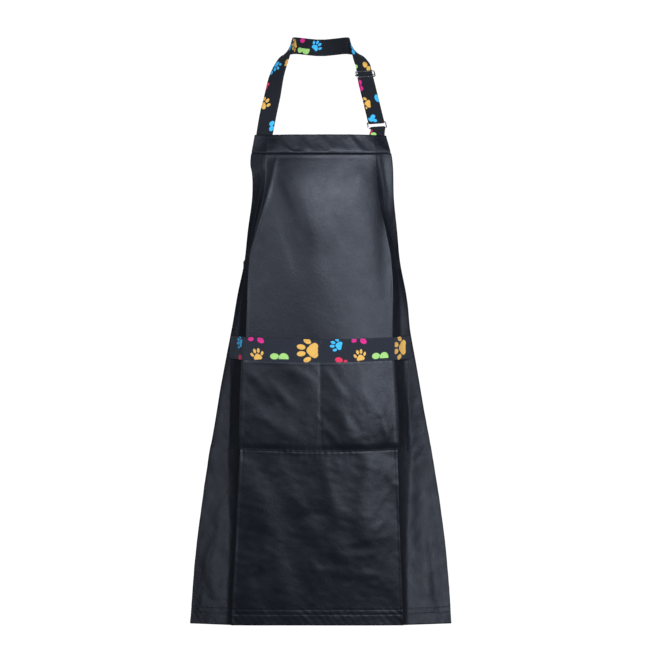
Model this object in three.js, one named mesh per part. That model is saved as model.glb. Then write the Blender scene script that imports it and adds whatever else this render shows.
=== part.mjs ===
// A bib apron, hung by its neck strap. Millimetres, +Z up, the front faces -Y.
// The origin is the inside of the neck strap at the middle of the nape.
import * as THREE from 'three';

// ---- driving dimensions ----
const CLOTH = 1.2; // thickness of the coated cloth and of the strap
const PLY = 1.0; // thickness of a turned hem, the band and the short loops
const GAP = 0.5; // air between two layers that follow the same curved cloth
const SMALL_GAP = 0.3; // air between two small parts

const BIB_TOP = -177;
const FACING_SEAM = -211;
const BIB_CORNER = -228;
const TIE_LEVEL = -419;
const POCKET_TOP = -560;
const BAND_FOOT = -602;
const POCKET_FOOT = -768;
const HEM_SEAM = -1066;
const HEM_FOOT = -1090;

const HEM_WIDTH = 20;
const POCKET_HALF = 196;
const POCKET_BULGE = 12;
const STRAP_WIDTH = 32;
const TIE_WIDTH = 28;
const TAIL_LENGTH = 270;
const SEAM_IN = 25; // how far a sewn strap end runs down behind the facing
const STITCH_HIGH = 1.4; // height of a stitch row
const THREAD_THICK = 0.4;
const TACK_THICK = 0.5;

const WIRE = 2.3; // thickness of the ring's and the slider's metal
const RING_WIDTH = 40.8;
const RING_HEIGHT = 13.5;
const RING_CORNER = 2.6; // outside radius of the ring's and the slider's corners
const RUN_TO_SLIDER = 97; // along the strap, from the ring's top bar to the slider

// ---- profiles of the hanging cloth, as [height, value] ----
const FRONT_Y = [[-177, -128], [-228, -141], [-300, -152], [-419, -156], [-556, -158], [-768, -160],
  [-1090, -156]];
const CREASE_X = [[-177, 100], [-228, 104], [-300, 111], [-360, 123], [-419, 133], [-556, 136], [-768, 148],
  [-1090, 157.5]];
const CREASE_BACK = [[-177, 6], [-300, 13], [-419, 14], [-556, 8], [-768, 6], [-1090, 5]];
const EDGE_X = [[-177, 124], [-228, 131], [-300, 131], [-360, 137], [-419, 144], [-478, 156], [-556, 169],
  [-636, 184], [-730, 200], [-814, 216], [-897, 229], [-982, 240], [-1090, 249]];
const EDGE_BACK = [[-177, 6], [-228, 12], [-300, 20], [-360, 31], [-419, 42], [-556, 54], [-768, 76],
  [-1090, 100]];
const EDGE_RISE = [[-177, 0], [-419, 4], [-556, 6], [-768, 8], [-900, 4], [-1090, -8]];
const SIDE_HOLLOW = [[-177, 0], [-300, 0.05], [-419, 0.2], [-556, 0.3], [-1090, 0.3]];

// ---- colours ----
const LEATHERETTE = { color: 0x2b2d33, roughness: 0.42, metalness: 0 };
const LINING = { color: 0x202126, roughness: 0.85, metalness: 0 };
const PRINTED = { color: 0x1c1d22, roughness: 0.9, metalness: 0 };
const NICKEL = { color: 0xc9c9c6, roughness: 0.22, metalness: 1 };
const THREAD = { color: 0x17181b, roughness: 0.7, metalness: 0 };

const vec = (x, y, z) => new THREE.Vector3(x, y, z);
const group = new THREE.Group();

function addPart(name, geometry, look) {
  const mesh = new THREE.Mesh(geometry, new THREE.MeshStandardMaterial(look));
  mesh.name = name;
  group.add(mesh);
  return mesh;
}

// Smooth value at height z through a list of [height, value] that runs downwards.
function valueAt(profile, z) {
  const last = profile.length - 1;
  const clamped = Math.min(Math.max(z, profile[last][0]), profile[0][0]);
  let i = 0;
  while (i < last - 1 && clamped < profile[i + 1][0]) i += 1;
  const slope = (k) => {
    const a = profile[Math.max(k - 1, 0)];
    const b = profile[Math.min(k + 1, last)];
    return (b[1] - a[1]) / (b[0] - a[0]);
  };
  const [z0, v0] = profile[i];
  const [z1, v1] = profile[i + 1];
  const span = z1 - z0;
  const t = (clamped - z0) / span;
  const h = t * t * (3 - 2 * t);
  return v0 + (v1 - v0) * h + span * t * (1 - t) * (slope(i) * (1 - t) - slope(i + 1) * t);
}

// ---- the cloth surface: u is 0 at the middle, 1 at the pressed crease, 2 at the edge ----
function clothPoint(u, z) {
  const a = Math.abs(u);
  const creaseX = valueAt(CREASE_X, z);
  const edgeX = valueAt(EDGE_X, z);
  let x = creaseX * a;
  let y = valueAt(FRONT_Y, z) + valueAt(CREASE_BACK, z) * Math.min(a, 1) ** 2;
  if (a > 1) {
    const w = a - 1;
    const hollow = valueAt(SIDE_HOLLOW, z) * w * (1 - w);
    x = creaseX + (edgeX - creaseX) * (w - hollow);
    y += valueAt(EDGE_BACK, z) * (w + hollow);
  }
  const rise = valueAt(EDGE_RISE, z) * (x / edgeX) ** 2;
  return vec(Math.sign(u) * x, y, z + rise);
}

// The unit normal on one side of a point, facing the front.
function clothNormal(u, z) {
  const step = 0.004;
  const across = clothPoint(u + step, z).sub(clothPoint(u - step, z));
  const up = clothPoint(u, Math.min(z + 1, BIB_TOP)).sub(clothPoint(u, Math.max(z - 1, HEM_FOOT)));
  return across.cross(up).normalize();
}

// A point held off the cloth by a distance; at the crease it stays that far from both sides.
function offCloth(u, z, distance) {
  const beside = 0.01;
  const left = clothNormal(u - beside, z);
  const right = clothNormal(u + beside, z);
  const middle = left.clone().add(right).normalize();
  const mitre = Math.max(middle.dot(left), 0.5);
  return clothPoint(u, z).addScaledVector(middle, distance / mitre);
}

// Where a flat distance from the middle falls on the cloth, as u.
function uAtFlat(distance, z) {
  const creaseX = valueAt(CREASE_X, z);
  const side = Math.hypot(valueAt(EDGE_X, z) - creaseX, valueAt(EDGE_BACK, z));
  return distance <= creaseX ? distance / creaseX : 1 + Math.min((distance - creaseX) / side, 0.985);
}

// The direction across the cloth at a point, towards +X.
function acrossCloth(u, z) {
  return clothPoint(u + 0.3, z).sub(clothPoint(u - 0.3, z)).normalize();
}

function uFromEdge(distance, z) {
  const side = Math.hypot(valueAt(EDGE_X, z) - valueAt(CREASE_X, z), valueAt(EDGE_BACK, z));
  return 2 - distance / side;
}

// ---- closed solids from two facing grids of points ----
function slab(front, back) {
  const rows = front.length;
  const cols = front[0].length;
  const points = [...front.flat(), ...back.flat()];
  const at = (side, i, j) => side * rows * cols + i * cols + j;
  const index = [];
  const quad = (a, b, c, d) => index.push(a, b, c, a, c, d);
  for (let i = 0; i < rows - 1; i += 1) {
    for (let j = 0; j < cols - 1; j += 1) {
      quad(at(0, i, j), at(0, i, j + 1), at(0, i + 1, j + 1), at(0, i + 1, j));
      quad(at(1, i, j), at(1, i + 1, j), at(1, i + 1, j + 1), at(1, i, j + 1));
    }
    quad(at(0, i, 0), at(0, i + 1, 0), at(1, i + 1, 0), at(1, i, 0));
    quad(at(0, i + 1, cols - 1), at(0, i, cols - 1), at(1, i, cols - 1), at(1, i + 1, cols - 1));
  }
  for (let j = 0; j < cols - 1; j += 1) {
    quad(at(0, 0, j + 1), at(0, 0, j), at(1, 0, j), at(1, 0, j + 1));
    quad(at(0, rows - 1, j), at(0, rows - 1, j + 1), at(1, rows - 1, j + 1), at(1, rows - 1, j));
  }
  return facingOut(points, index);
}

function facingOut(points, index) {
  let volume = 0;
  for (let i = 0; i < index.length; i += 3) {
    const [a, b, c] = [points[index[i]], points[index[i + 1]], points[index[i + 2]]];
    volume += a.dot(b.clone().cross(c));
  }
  if (volume < 0) index.reverse();
  const geometry = new THREE.BufferGeometry().setFromPoints(points);
  geometry.setIndex(index);
  geometry.computeVertexNormals();
  return geometry;
}

// Every layer shares these heights, so that the layers' facets run side by side.
const FEATURES = [BIB_TOP, FACING_SEAM, BIB_CORNER, -300, TIE_LEVEL, POCKET_TOP, BAND_FOOT, POCKET_FOOT,
  HEM_SEAM, HEM_FOOT];
const LONGEST_ROW = 34;
const HEIGHTS = FEATURES.slice(1).reduce((list, foot, k) => {
  const top = FEATURES[k];
  const parts = Math.ceil((top - foot) / (top > -300 ? LONGEST_ROW / 2 : LONGEST_ROW));
  for (let n = 1; n <= parts; n += 1) list.push(top + ((foot - top) * n) / parts);
  return list;
}, [BIB_TOP]);

function heightsBetween(top, foot) {
  const inside = HEIGHTS.filter((z) => z < top - 2 && z > foot + 2);
  return [top, ...inside, foot];
}

// Steps from u0 to u1 that always stop at the creases.
function acrossSteps(u0, u1, most = 0.17) {
  const stops = [u0, ...[-1, 1].filter((c) => c > u0 + 0.02 && c < u1 - 0.02), u1];
  const steps = [u0];
  for (let k = 1; k < stops.length; k += 1) {
    const parts = Math.ceil((stops[k] - stops[k - 1]) / most);
    for (let n = 1; n <= parts; n += 1) steps.push(stops[k - 1] + ((stops[k] - stops[k - 1]) * n) / parts);
  }
  return steps;
}

// A layer of cloth between two heights. left(z) and right(z) give its edges as u, and
// outer(u, z) and inner(u, z) how far its two faces stand off the apron's front face.
function layer(top, foot, left, right, outer, inner, most) {
  const heights = heightsBetween(top, foot);
  const middle = (top + foot) / 2;
  const shares = acrossSteps(left(middle), right(middle), most);
  const place = (z, share) => {
    const from = left(middle);
    const to = right(middle);
    if (share <= -1 && from < -1) return -1 + ((share + 1) * (left(z) + 1)) / (from + 1);
    if (share >= 1 && to > 1) return 1 + ((share - 1) * (right(z) - 1)) / (to - 1);
    if (from < -1 && to > 1) return share;
    return left(z) + ((share - from) * (right(z) - left(z))) / (to - from);
  };
  const grid = (distance) => heights.map((z) => shares.map((share) => {
    const u = place(z, share);
    return offCloth(u, z, distance(u, z));
  }));
  return slab(grid(outer), grid(inner));
}

const always = (value) => () => value;
const BEHIND = -CLOTH - GAP;

// ---- the apron's cloth ----
function addApronPanel() {
  const panel = layer(BIB_TOP, HEM_FOOT, always(-2), always(2), always(0), always(-CLOTH), 0.2);
  addPart('apron_panel', panel, LEATHERETTE);
}

function addHems() {
  const plain = [always(BEHIND), always(BEHIND - PLY)];
  const inset = 1;
  addPart('bib_top_facing', layer(BIB_TOP, FACING_SEAM, always(-2), always(2), ...plain), LEATHERETTE);
  addPart('bottom_hem', layer(HEM_SEAM, HEM_FOOT, always(-2), always(2), ...plain), LEATHERETTE);
  const inner = (z) => uFromEdge(HEM_WIDTH, z);
  const strips = [
    ['armhole_hem', FACING_SEAM - inset, TIE_LEVEL],
    ['side_hem', TIE_LEVEL - inset, HEM_SEAM + inset],
  ];
  for (const [name, top, foot] of strips) {
    const left = layer(top, foot, always(-2), (z) => -inner(z), ...plain);
    const right = layer(top, foot, inner, always(2), ...plain);
    addPart(`${name}_left`, left, LINING);
    addPart(`${name}_right`, right, LINING);
  }
}

// How far the pocket's inside stands off the apron: closed at its seams, open at its mouth.
function pocketStandOff(u, z) {
  const flat = Math.abs(u) <= 1 ? Math.abs(u) * valueAt(CREASE_X, z) : flatBeyondCrease(Math.abs(u), z);
  const across = Math.sin(Math.PI * Math.min(flat / POCKET_HALF, 1));
  const down = Math.min(Math.max((z - POCKET_FOOT) / (POCKET_TOP - POCKET_FOOT), 0), 1);
  return GAP + POCKET_BULGE * across * (1 - (1 - down) ** 3);
}

function flatBeyondCrease(a, z) {
  const creaseX = valueAt(CREASE_X, z);
  return creaseX + (a - 1) * Math.hypot(valueAt(EDGE_X, z) - creaseX, valueAt(EDGE_BACK, z));
}

function addPocket() {
  const right = (z) => uAtFlat(POCKET_HALF, z);
  const left = (z) => -right(z);
  const over = (extra) => (u, z) => pocketStandOff(u, z) + extra;
  const pocket = layer(POCKET_TOP, POCKET_FOOT, left, right, over(CLOTH), over(0));
  const band = layer(POCKET_TOP, BAND_FOOT, left, right, over(CLOTH + GAP + PLY), over(CLOTH + GAP));
  addPart('pocket_panel', pocket, LEATHERETTE);
  addPart('pocket_band', band, PRINTED);
}

// ---- sewing: thin raised rows of thread and small dense tacks ----
function addStitchRow(name, z, halfU, standOff) {
  const outer = (u, h) => standOff(u, h) + GAP + THREAD_THICK;
  const inner = (u, h) => standOff(u, h) + GAP;
  const [top, foot] = [z + STITCH_HIGH / 2, z - STITCH_HIGH / 2];
  addPart(name, layer(top, foot, always(-halfU), always(halfU), outer, inner), THREAD);
}

function addSewing() {
  const onApron = always(0);
  const bandOuter = (u, z) => pocketStandOff(u, z) + CLOTH + GAP + PLY;
  addStitchRow('facing_stitch_row', FACING_SEAM + 4, 1.9, onApron);
  addStitchRow('hem_stitch_row_upper', HEM_SEAM + 4, 1.9, onApron);
  addStitchRow('hem_stitch_row_lower', HEM_SEAM - 5, 1.9, onApron);
  addStitchRow('band_stitch_row', BAND_FOOT + 3, 1.55, bandOuter);
  const seamHalf = 0.006;
  const onPocket = (u, z) => pocketStandOff(u, z) + CLOTH;
  const outer = (u, z) => onPocket(u, z) + GAP + THREAD_THICK;
  const inner = (u, z) => onPocket(u, z) + GAP;
  const centre = layer(BAND_FOOT - 2, POCKET_FOOT + 2, always(-seamHalf), always(seamHalf), outer, inner);
  addPart('pocket_centre_stitch_row', centre, THREAD);
  addPocketTacks(bandOuter);
}

function addPocketTacks(bandOuter) {
  const size = 0.05;
  const top = POCKET_TOP - 3;
  const foot = POCKET_TOP - 13;
  const corner = uAtFlat(POCKET_HALF, POCKET_TOP) - 0.12;
  const outer = (u, z) => bandOuter(u, z) + GAP + TACK_THICK;
  const inner = (u, z) => bandOuter(u, z) + GAP;
  for (const [name, at] of [['left', -corner], ['centre', 0], ['right', corner]]) {
    const tack = layer(top, foot, always(at - size), always(at + size), outer, inner);
    addPart(`pocket_tack_${name}`, tack, THREAD);
  }
}

// ---- flat tape along a list of stations { p, w }: a centre point and its width direction ----
function tape(stations, width, thickness) {
  const last = stations.length - 1;
  const outer = [];
  const inner = [];
  stations.forEach(({ p, w }, i) => {
    const [before, after] = [stations[Math.max(i - 1, 0)].p, stations[Math.min(i + 1, last)].p];
    const ahead = after.clone().sub(before).normalize();
    const side = w.clone().addScaledVector(ahead, -w.dot(ahead)).normalize();
    const normal = side.clone().cross(ahead);
    const edge = (s, n) => p.clone()
      .addScaledVector(side, (s * width) / 2)
      .addScaledVector(normal, (n * thickness) / 2);
    outer.push([edge(-1, 1), edge(1, 1)]);
    inner.push([edge(-1, -1), edge(1, -1)]);
  });
  return slab(outer, inner);
}

// Stations on a smooth curve through points, each given as [x, y, z, width x, width y, width z].
function stationsThrough(list, perSpan) {
  const curve = (points) => new THREE.CatmullRomCurve3(points, false, 'catmullrom', 0.5);
  const places = curve(list.map(([x, y, z]) => vec(x, y, z)));
  const widths = curve(list.map((row) => vec(row[3], row[4], row[5])));
  const count = (list.length - 1) * perSpan;
  return Array.from({ length: count + 1 }, (_, k) => {
    const t = k / count;
    return { p: places.getPoint(t), w: widths.getPoint(t) };
  });
}

// Stations of a half turn round a bar: from on one side to the other, in the plane of start and over.
function turnRound(centre, start, over, radius, w) {
  const steps = 6;
  return Array.from({ length: steps + 1 }, (_, k) => {
    const angle = (Math.PI * k) / steps;
    const p = centre.clone()
      .addScaledVector(start, radius * Math.cos(angle))
      .addScaledVector(over, radius * Math.sin(angle));
    return { p, w };
  });
}

// ---- the straight run of strap that carries the ring and the slider ----
const RUN_FOOT = vec(105, -116, -152);
const RUN_UP = vec(-21.5, 24, 91.5).normalize();
const RUN_SIDE = perpendicular(vec(-1, -0.45, 0), RUN_UP);
const RUN_FRONT = RUN_UP.clone().cross(RUN_SIDE);

function perpendicular(direction, to) {
  return direction.clone().addScaledVector(to, -direction.dot(to)).normalize();
}

// A point of the run: up along the strap from the ring's top bar, and out towards the front.
function onRun(up, out) {
  return RUN_FOOT.clone().addScaledVector(RUN_UP, up).addScaledVector(RUN_FRONT, out);
}

const BAR_RADIUS = WIRE / 2;
const BAR_GAP = 0.5; // air between a bar and the cloth turned round it
const RING_BACK = -(CLOTH / 2 + BAR_GAP + BAR_RADIUS); // the ring's plane, behind the strap's front ply
const BAR_SPACING = RING_HEIGHT - WIRE;
const SLIDER_OUT = CLOTH / 2 + SMALL_GAP + BAR_RADIUS;
const CENTRE_BAR_HALF = 1.1;
const END_TURN = CENTRE_BAR_HALF + BAR_GAP + PLY / 2;
const CENTRE_BAR_OUT = -(CLOTH / 2 + SMALL_GAP + PLY / 2 + END_TURN);
const LOOP_REACH = 12; // how far the strap's fold and the strap's sewn end run past their bars

function addNeckStrap() {
  const seat = (u, z) => offCloth(u, z, BEHIND - PLY - GAP - 2 * CLOTH);
  const sewnU = -1.3;
  const sewnAt = (z) => [...seat(sewnU, z).toArray(), ...acrossCloth(sewnU, z).toArray()];
  const sewn = [BIB_TOP - SEAM_IN, BIB_TOP - SEAM_IN / 2, BIB_TOP].map(sewnAt);
  const front = [[-98.5, -111, -137, 1, -0.1, 0.1], [-91, -104, -103, 0.97, -0.2, 0.1],
    [-82.5, -91, -61.5, 0.9, -0.4, 0.15]];
  const neck = [[-68, -75, -24, 0.75, -0.5, 0.45], [-60, -62, -9, 0.4, -0.4, 0.85],
    [-54, -47, -2, 0.1, -0.1, 1], [-45, -25, 1, 0, 0, 1], [-27, -7.5, 1, 0, 0, 1],
    [-8, CLOTH / 2, 0, 0, 0, 1]];
  const mirrored = neck.map(([x, y, z, wx, wy, wz]) => [-x, y, z, -wx, wy, wz]).reverse();
  const runTop = [...onRun(RUN_TO_SLIDER + 22, 0).toArray(), ...RUN_SIDE.toArray()];
  const leftHalf = stationsThrough([...sewn, ...front, ...neck], 3);
  const rightHalf = stationsThrough([...mirrored, runTop], 3);
  const run = { p: onRun(LOOP_REACH + SMALL_GAP, 0), w: RUN_SIDE };
  addPart('neck_strap', tape([...leftHalf, ...rightHalf, run], STRAP_WIDTH, CLOTH), PRINTED);
}

function addStrapFold() {
  const centre = onRun(0, RING_BACK);
  const reach = -RING_BACK;
  const down = RUN_UP.clone().negate();
  const turn = turnRound(centre, RUN_FRONT, down, reach, RUN_SIDE);
  const station = (up, out) => ({ p: onRun(up, out), w: RUN_SIDE });
  const front = station(LOOP_REACH, RING_BACK + reach);
  const back = station(LOOP_REACH, RING_BACK - reach);
  addPart('strap_ring_fold', tape([front, ...turn, back], STRAP_WIDTH, CLOTH), PRINTED);
  const foot = station(LOOP_REACH + SMALL_GAP, RING_BACK - reach);
  const head = station(RUN_TO_SLIDER - LOOP_REACH - SMALL_GAP, CENTRE_BAR_OUT - END_TURN);
  addPart('strap_return_ply', tape([foot, head], STRAP_WIDTH, CLOTH), PRINTED);
}

// ---- metal ----
function roundedRectangle(width, height, radius, path) {
  const [x, y] = [width / 2, height / 2];
  path.moveTo(x - radius, -y);
  path.absarc(x - radius, -y + radius, radius, -Math.PI / 2, 0);
  path.absarc(x - radius, y - radius, radius, 0, Math.PI / 2);
  path.absarc(-x + radius, y - radius, radius, Math.PI / 2, Math.PI);
  path.absarc(-x + radius, -y + radius, radius, Math.PI, 1.5 * Math.PI);
  path.closePath();
  return path;
}

function wireFrame() {
  const outline = roundedRectangle(RING_WIDTH, RING_HEIGHT, RING_CORNER, new THREE.Shape());
  const [width, height] = [RING_WIDTH - 2 * WIRE, RING_HEIGHT - 2 * WIRE];
  outline.holes.push(roundedRectangle(width, height, RING_CORNER / 3, new THREE.Path()));
  return chamfered(outline, WIRE, 0.65);
}

// An outline drawn out to a thickness, centred, with its edges cut off at 45 degrees.
function chamfered(outline, thickness, cut) {
  const bevel = { bevelThickness: cut, bevelSize: cut, bevelOffset: -cut, bevelSegments: 1 };
  const depth = thickness - 2 * cut;
  const geometry = new THREE.ExtrudeGeometry(outline, { depth, ...bevel, curveSegments: 4 });
  return geometry.translate(0, 0, -depth / 2);
}

// Stands a mesh drawn flat (x across the strap, y up it, z to the front) on the run.
function standOnRun(mesh, up, out) {
  const across = RUN_UP.clone().cross(RUN_FRONT);
  mesh.quaternion.setFromRotationMatrix(new THREE.Matrix4().makeBasis(across, RUN_UP, RUN_FRONT));
  mesh.position.copy(onRun(up, out));
}

function addRing() {
  standOnRun(addPart('ring', wireFrame(), NICKEL), -BAR_SPACING / 2, RING_BACK);
}

function addSlider() {
  standOnRun(addPart('slider_frame', wireFrame(), NICKEL), RUN_TO_SLIDER, SLIDER_OUT);
  const half = RING_WIDTH / 2;
  const post = 2.2;
  const back = CENTRE_BAR_OUT - CENTRE_BAR_HALF;
  const face = CENTRE_BAR_OUT + CENTRE_BAR_HALF;
  const head = SLIDER_OUT - BAR_RADIUS - SMALL_GAP;
  const corners = [[-half, back], [half, back], [half, head], [half - post, head], [half - post, face],
    [post - half, face], [post - half, head], [-half, head]];
  const staple = new THREE.Shape(corners.map(([x, z]) => new THREE.Vector2(x, z)));
  const bar = chamfered(staple, 2 * CENTRE_BAR_HALF, 0.5).rotateX(Math.PI / 2);
  standOnRun(addPart('slider_centre_bar', bar, NICKEL), RUN_TO_SLIDER, 0);
}

function addStrapEnd() {
  const centre = onRun(RUN_TO_SLIDER, CENTRE_BAR_OUT);
  const turn = turnRound(centre, RUN_FRONT, RUN_UP, END_TURN, RUN_SIDE);
  const foot = RUN_TO_SLIDER - LOOP_REACH;
  const ends = [END_TURN, -END_TURN].map((out) => ({ p: onRun(foot, CENTRE_BAR_OUT + out), w: RUN_SIDE }));
  addPart('strap_sewn_end', tape([ends[0], ...turn, ends[1]], STRAP_WIDTH - 2, PLY), PRINTED);
}

// ---- the short loop that holds the ring on the bib ----
function addRingTab() {
  const reach = BAR_RADIUS + BAR_GAP + PLY / 2;
  const centre = onRun(-BAR_SPACING, RING_BACK);
  const turn = turnRound(centre, RUN_FRONT, RUN_UP, reach, RUN_SIDE);
  const sewnU = 1.3;
  const seat = (z, behind) => {
    const p = offCloth(sewnU, z, BEHIND - PLY - GAP - behind);
    return { p, w: acrossCloth(sewnU, z).negate() };
  };
  const straight = (out) => ({ p: onRun(-BAR_SPACING - 3, RING_BACK + out), w: RUN_SIDE });
  const [near, far, farAtTop] = [2.2, 4.2, 5.2]; // how far behind the facing the two plies lie
  const front = [seat(BIB_TOP - SEAM_IN, near), seat(BIB_TOP, near), straight(reach)];
  const back = [straight(-reach), seat(BIB_TOP, farAtTop), seat(BIB_TOP - SEAM_IN, far)];
  addPart('ring_tab', tape([...front, ...turn, ...back], STRAP_WIDTH - 3, PLY), PRINTED);
}

// ---- waist ties, stored tied behind the back ----
const KNOT = vec(0, 25, -431);
const KNOT_RADIUS = 14;
const TIE_DROP = 6; // how far the ties' middle line lies below the tie level where they are sewn on

function addTies() {
  for (const [name, side] of [['left', -1], ['right', 1]]) {
    addTie(name, side);
    addTieTack(name, side);
    addBowLoop(name, side);
    addTail(name, side);
  }
  const knot = new THREE.SphereGeometry(KNOT_RADIUS, 14, 10).scale(1, 0.72, 1.15);
  addPart('waist_knot', knot, PRINTED).position.copy(KNOT);
}

function addTie(name, side) {
  const behind = BEHIND - PLY - GAP - 2;
  const seat = (distance) => offCloth(side * uFromEdge(distance, TIE_LEVEL), TIE_LEVEL, behind);
  const sewn = [seat(16), seat(1)].map((p) => [p.x, p.y, p.z - TIE_DROP, 0, 0, 1]);
  const round = [[146, -72, -427], [141, -42, -428], [124, -13, -429], [93, 8, -430], [52, 19, -431],
    [16, 23, -431]];
  const free = round.map(([x, y, z]) => [side * x, y, z, 0, 0, 1]);
  addPart(`waist_tie_${name}`, tape(stationsThrough([...sewn, ...free], 3), TIE_WIDTH, CLOTH), PRINTED);
}

function addTieTack(name, side) {
  const [top, foot] = [TIE_LEVEL + 6, TIE_LEVEL - 16];
  const [near, far] = [uFromEdge(13, TIE_LEVEL), uFromEdge(5, TIE_LEVEL)];
  const [left, right] = side < 0 ? [-far, -near] : [near, far];
  const tack = layer(top, foot, always(left), always(right), always(GAP + TACK_THICK), always(GAP));
  addPart(`tie_tack_${name}`, tack, THREAD);
}

function addBowLoop(name, side) {
  const route = [[15, 32.5, -427], [38, 41.5, -426], [70, 44.5, -434], [92, 40.5, -445], [94, 33.5, -449],
    [72, 31, -446], [42, 29.5, -438], [15, 27, -434.5]];
  const points = route.map(([x, y, z]) => [side * x, y, z, 0, 0, 1]);
  addPart(`bow_loop_${name}`, tape(stationsThrough(points, 3), TIE_WIDTH - 4, CLOTH), PRINTED);
}

function addTail(name, side) {
  const top = KNOT.z - 22;
  const [x, y] = [side * 15, KNOT.y - 3.5 + side * 2.5]; // one tail hangs in front of the other
  const steps = 6;
  const stations = Array.from({ length: steps + 1 }, (_, k) => {
    const z = top - (TAIL_LENGTH * k) / steps;
    return { p: vec(x, y, z), w: vec(1, 0, 0) };
  });
  addPart(`tie_tail_${name}`, tape(stations, TIE_WIDTH, CLOTH), PRINTED);
}

addApronPanel();
addHems();
addPocket();
addSewing();
addNeckStrap();
addStrapFold();
addRing();
addSlider();
addStrapEnd();
addRingTab();
addTies();

export default group;
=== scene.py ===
import math
import bpy
import numpy as np
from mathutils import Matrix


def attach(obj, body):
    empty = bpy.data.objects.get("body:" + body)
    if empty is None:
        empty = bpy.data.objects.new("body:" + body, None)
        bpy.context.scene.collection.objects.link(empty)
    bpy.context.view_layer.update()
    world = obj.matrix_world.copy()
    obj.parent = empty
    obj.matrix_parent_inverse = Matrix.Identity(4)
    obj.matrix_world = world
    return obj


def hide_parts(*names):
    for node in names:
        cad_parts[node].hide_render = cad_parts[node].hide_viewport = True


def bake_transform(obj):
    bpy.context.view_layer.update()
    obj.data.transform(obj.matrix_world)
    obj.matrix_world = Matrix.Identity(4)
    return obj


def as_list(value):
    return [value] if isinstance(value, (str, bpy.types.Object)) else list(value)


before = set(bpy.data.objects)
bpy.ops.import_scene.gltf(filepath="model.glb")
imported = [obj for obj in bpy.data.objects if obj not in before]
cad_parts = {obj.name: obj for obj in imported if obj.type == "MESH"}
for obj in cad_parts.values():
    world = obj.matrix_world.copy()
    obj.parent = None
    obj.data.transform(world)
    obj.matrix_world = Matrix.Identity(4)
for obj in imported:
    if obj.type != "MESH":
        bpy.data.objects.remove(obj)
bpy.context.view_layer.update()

MM = 0.001

# ---- dimensions, in millimetres
CLOTH = 1.2
PLY = 1.0
BIB_TOP = -177.0
FACING_SEAM = -211.0
BIB_CORNER = -228.0
TIE_LEVEL = -419.0
POCKET_TOP = -560.0
BAND_FOOT = -602.0
POCKET_FOOT = -768.0
HEM_SEAM = -1066.0
HEM_FOOT = -1090.0
HEM_ROWS = (HEM_SEAM + 4, HEM_SEAM - 5)  # the two stitch rows of the bottom hem
HEM_WIDTH = 20.0
HEM_UV = 0.045  # the UV height, in metres, given to a hem's cross-section
POCKET_HALF = 196.0
STRAP_WIDTH = 32.0
TIE_WIDTH = 28.0
TAIL_LENGTH = 270.0
WIRE = 2.3
RING_WIDTH = 40.8
RING_HEIGHT = 13.5
RUN_TO_SLIDER = 97.0

SIDES = (("left", -1), ("right", 1))

# profiles of the hanging cloth, as (height, value)
FRONT_Y = [(-177, -128), (-228, -141), (-300, -152), (-419, -156), (-556, -158), (-768, -160), (-1090, -156)]
CREASE_X = [(-177, 100), (-228, 104), (-300, 111), (-360, 123), (-419, 133), (-556, 136), (-768, 148),
            (-1090, 157.5)]
CREASE_BACK = [(-177, 6), (-300, 13), (-419, 14), (-556, 8), (-768, 6), (-1090, 5)]
EDGE_X = [(-177, 124), (-228, 131), (-300, 131), (-360, 137), (-419, 144), (-478, 156), (-556, 169),
          (-636, 184), (-730, 200), (-814, 216), (-897, 229), (-982, 240), (-1090, 249)]
EDGE_BACK = [(-177, 6), (-228, 12), (-300, 20), (-360, 31), (-419, 42), (-556, 54), (-768, 76), (-1090, 100)]
EDGE_RISE = [(-177, 0), (-419, 4), (-556, 6), (-768, 8), (-900, 4), (-1090, 0)]
HEM_DROP = [(-177, 0), (-880, 0), (-1090, 0.088)]
# the side turns back steeply as far as its knee, a share of its width, and less beyond it
SIDE_HOLLOW = [(-177, 0), (-300, 0.05), (-419, 0.1), (-556, 0.1), (-768, 0.16), (-900, 0.22), (-1090, 0.28)]
SIDE_KNEE = [(-177, 0.5), (-556, 0.6), (-768, 0.55), (-900, 0.33), (-1090, 0.17)]
# how sharply the cloth turns back right beside the pressed crease
CREASE_TURN = [(-177, 0), (-419, 0.02), (-478, 0.08), (-556, 0.12), (-768, 0.08), (-1090, 0.05)]
# how far the left armhole edge is drawn in below the corner of the bib, where the cloth folds back
LEFT_TUCK = [(-177, 0), (-232, 0), (-250, 3), (-272, 3.5), (-310, 2), (-360, 0), (-1090, 0)]
# the right edge stands out a little, and the two creases don't hang quite alike
RIGHT_EASE = [(-177, 0), (-228, 3), (-300, 6), (-360, 6), (-419, 5), (-500, 3), (-556, 0), (-1090, 0)]
RIGHT_CREASE_IN = [(-177, 0), (-419, 1), (-500, 2.5), (-602, 7), (-768, 8), (-1090, 6)]
LEFT_CREASE_IN = [(-177, 0), (-419, 0), (-602, -2), (-768, -0.5), (-900, -3), (-1090, -8)]


# ---- the cloth surface
def value_at(profile, z):
    """Smooth value at heights z through (height, value) pairs that run downwards."""
    heights = np.array([p[0] for p in profile], float)
    values = np.array([p[1] for p in profile], float)
    last = len(heights) - 1
    z = np.clip(z, heights[-1], heights[0])
    i = np.clip(np.searchsorted(-heights, -z, side="left") - 1, 0, last - 1)
    before, after = np.maximum(np.arange(last + 1) - 1, 0), np.minimum(np.arange(last + 1) + 1, last)
    slopes = (values[after] - values[before]) / (heights[after] - heights[before])
    span = heights[i + 1] - heights[i]
    t = (z - heights[i]) / span
    ease = t * t * (3 - 2 * t)
    bend = slopes[i] * (1 - t) - slopes[i + 1] * t
    return values[i] + (values[i + 1] - values[i]) * ease + span * t * (1 - t) * bend


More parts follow.
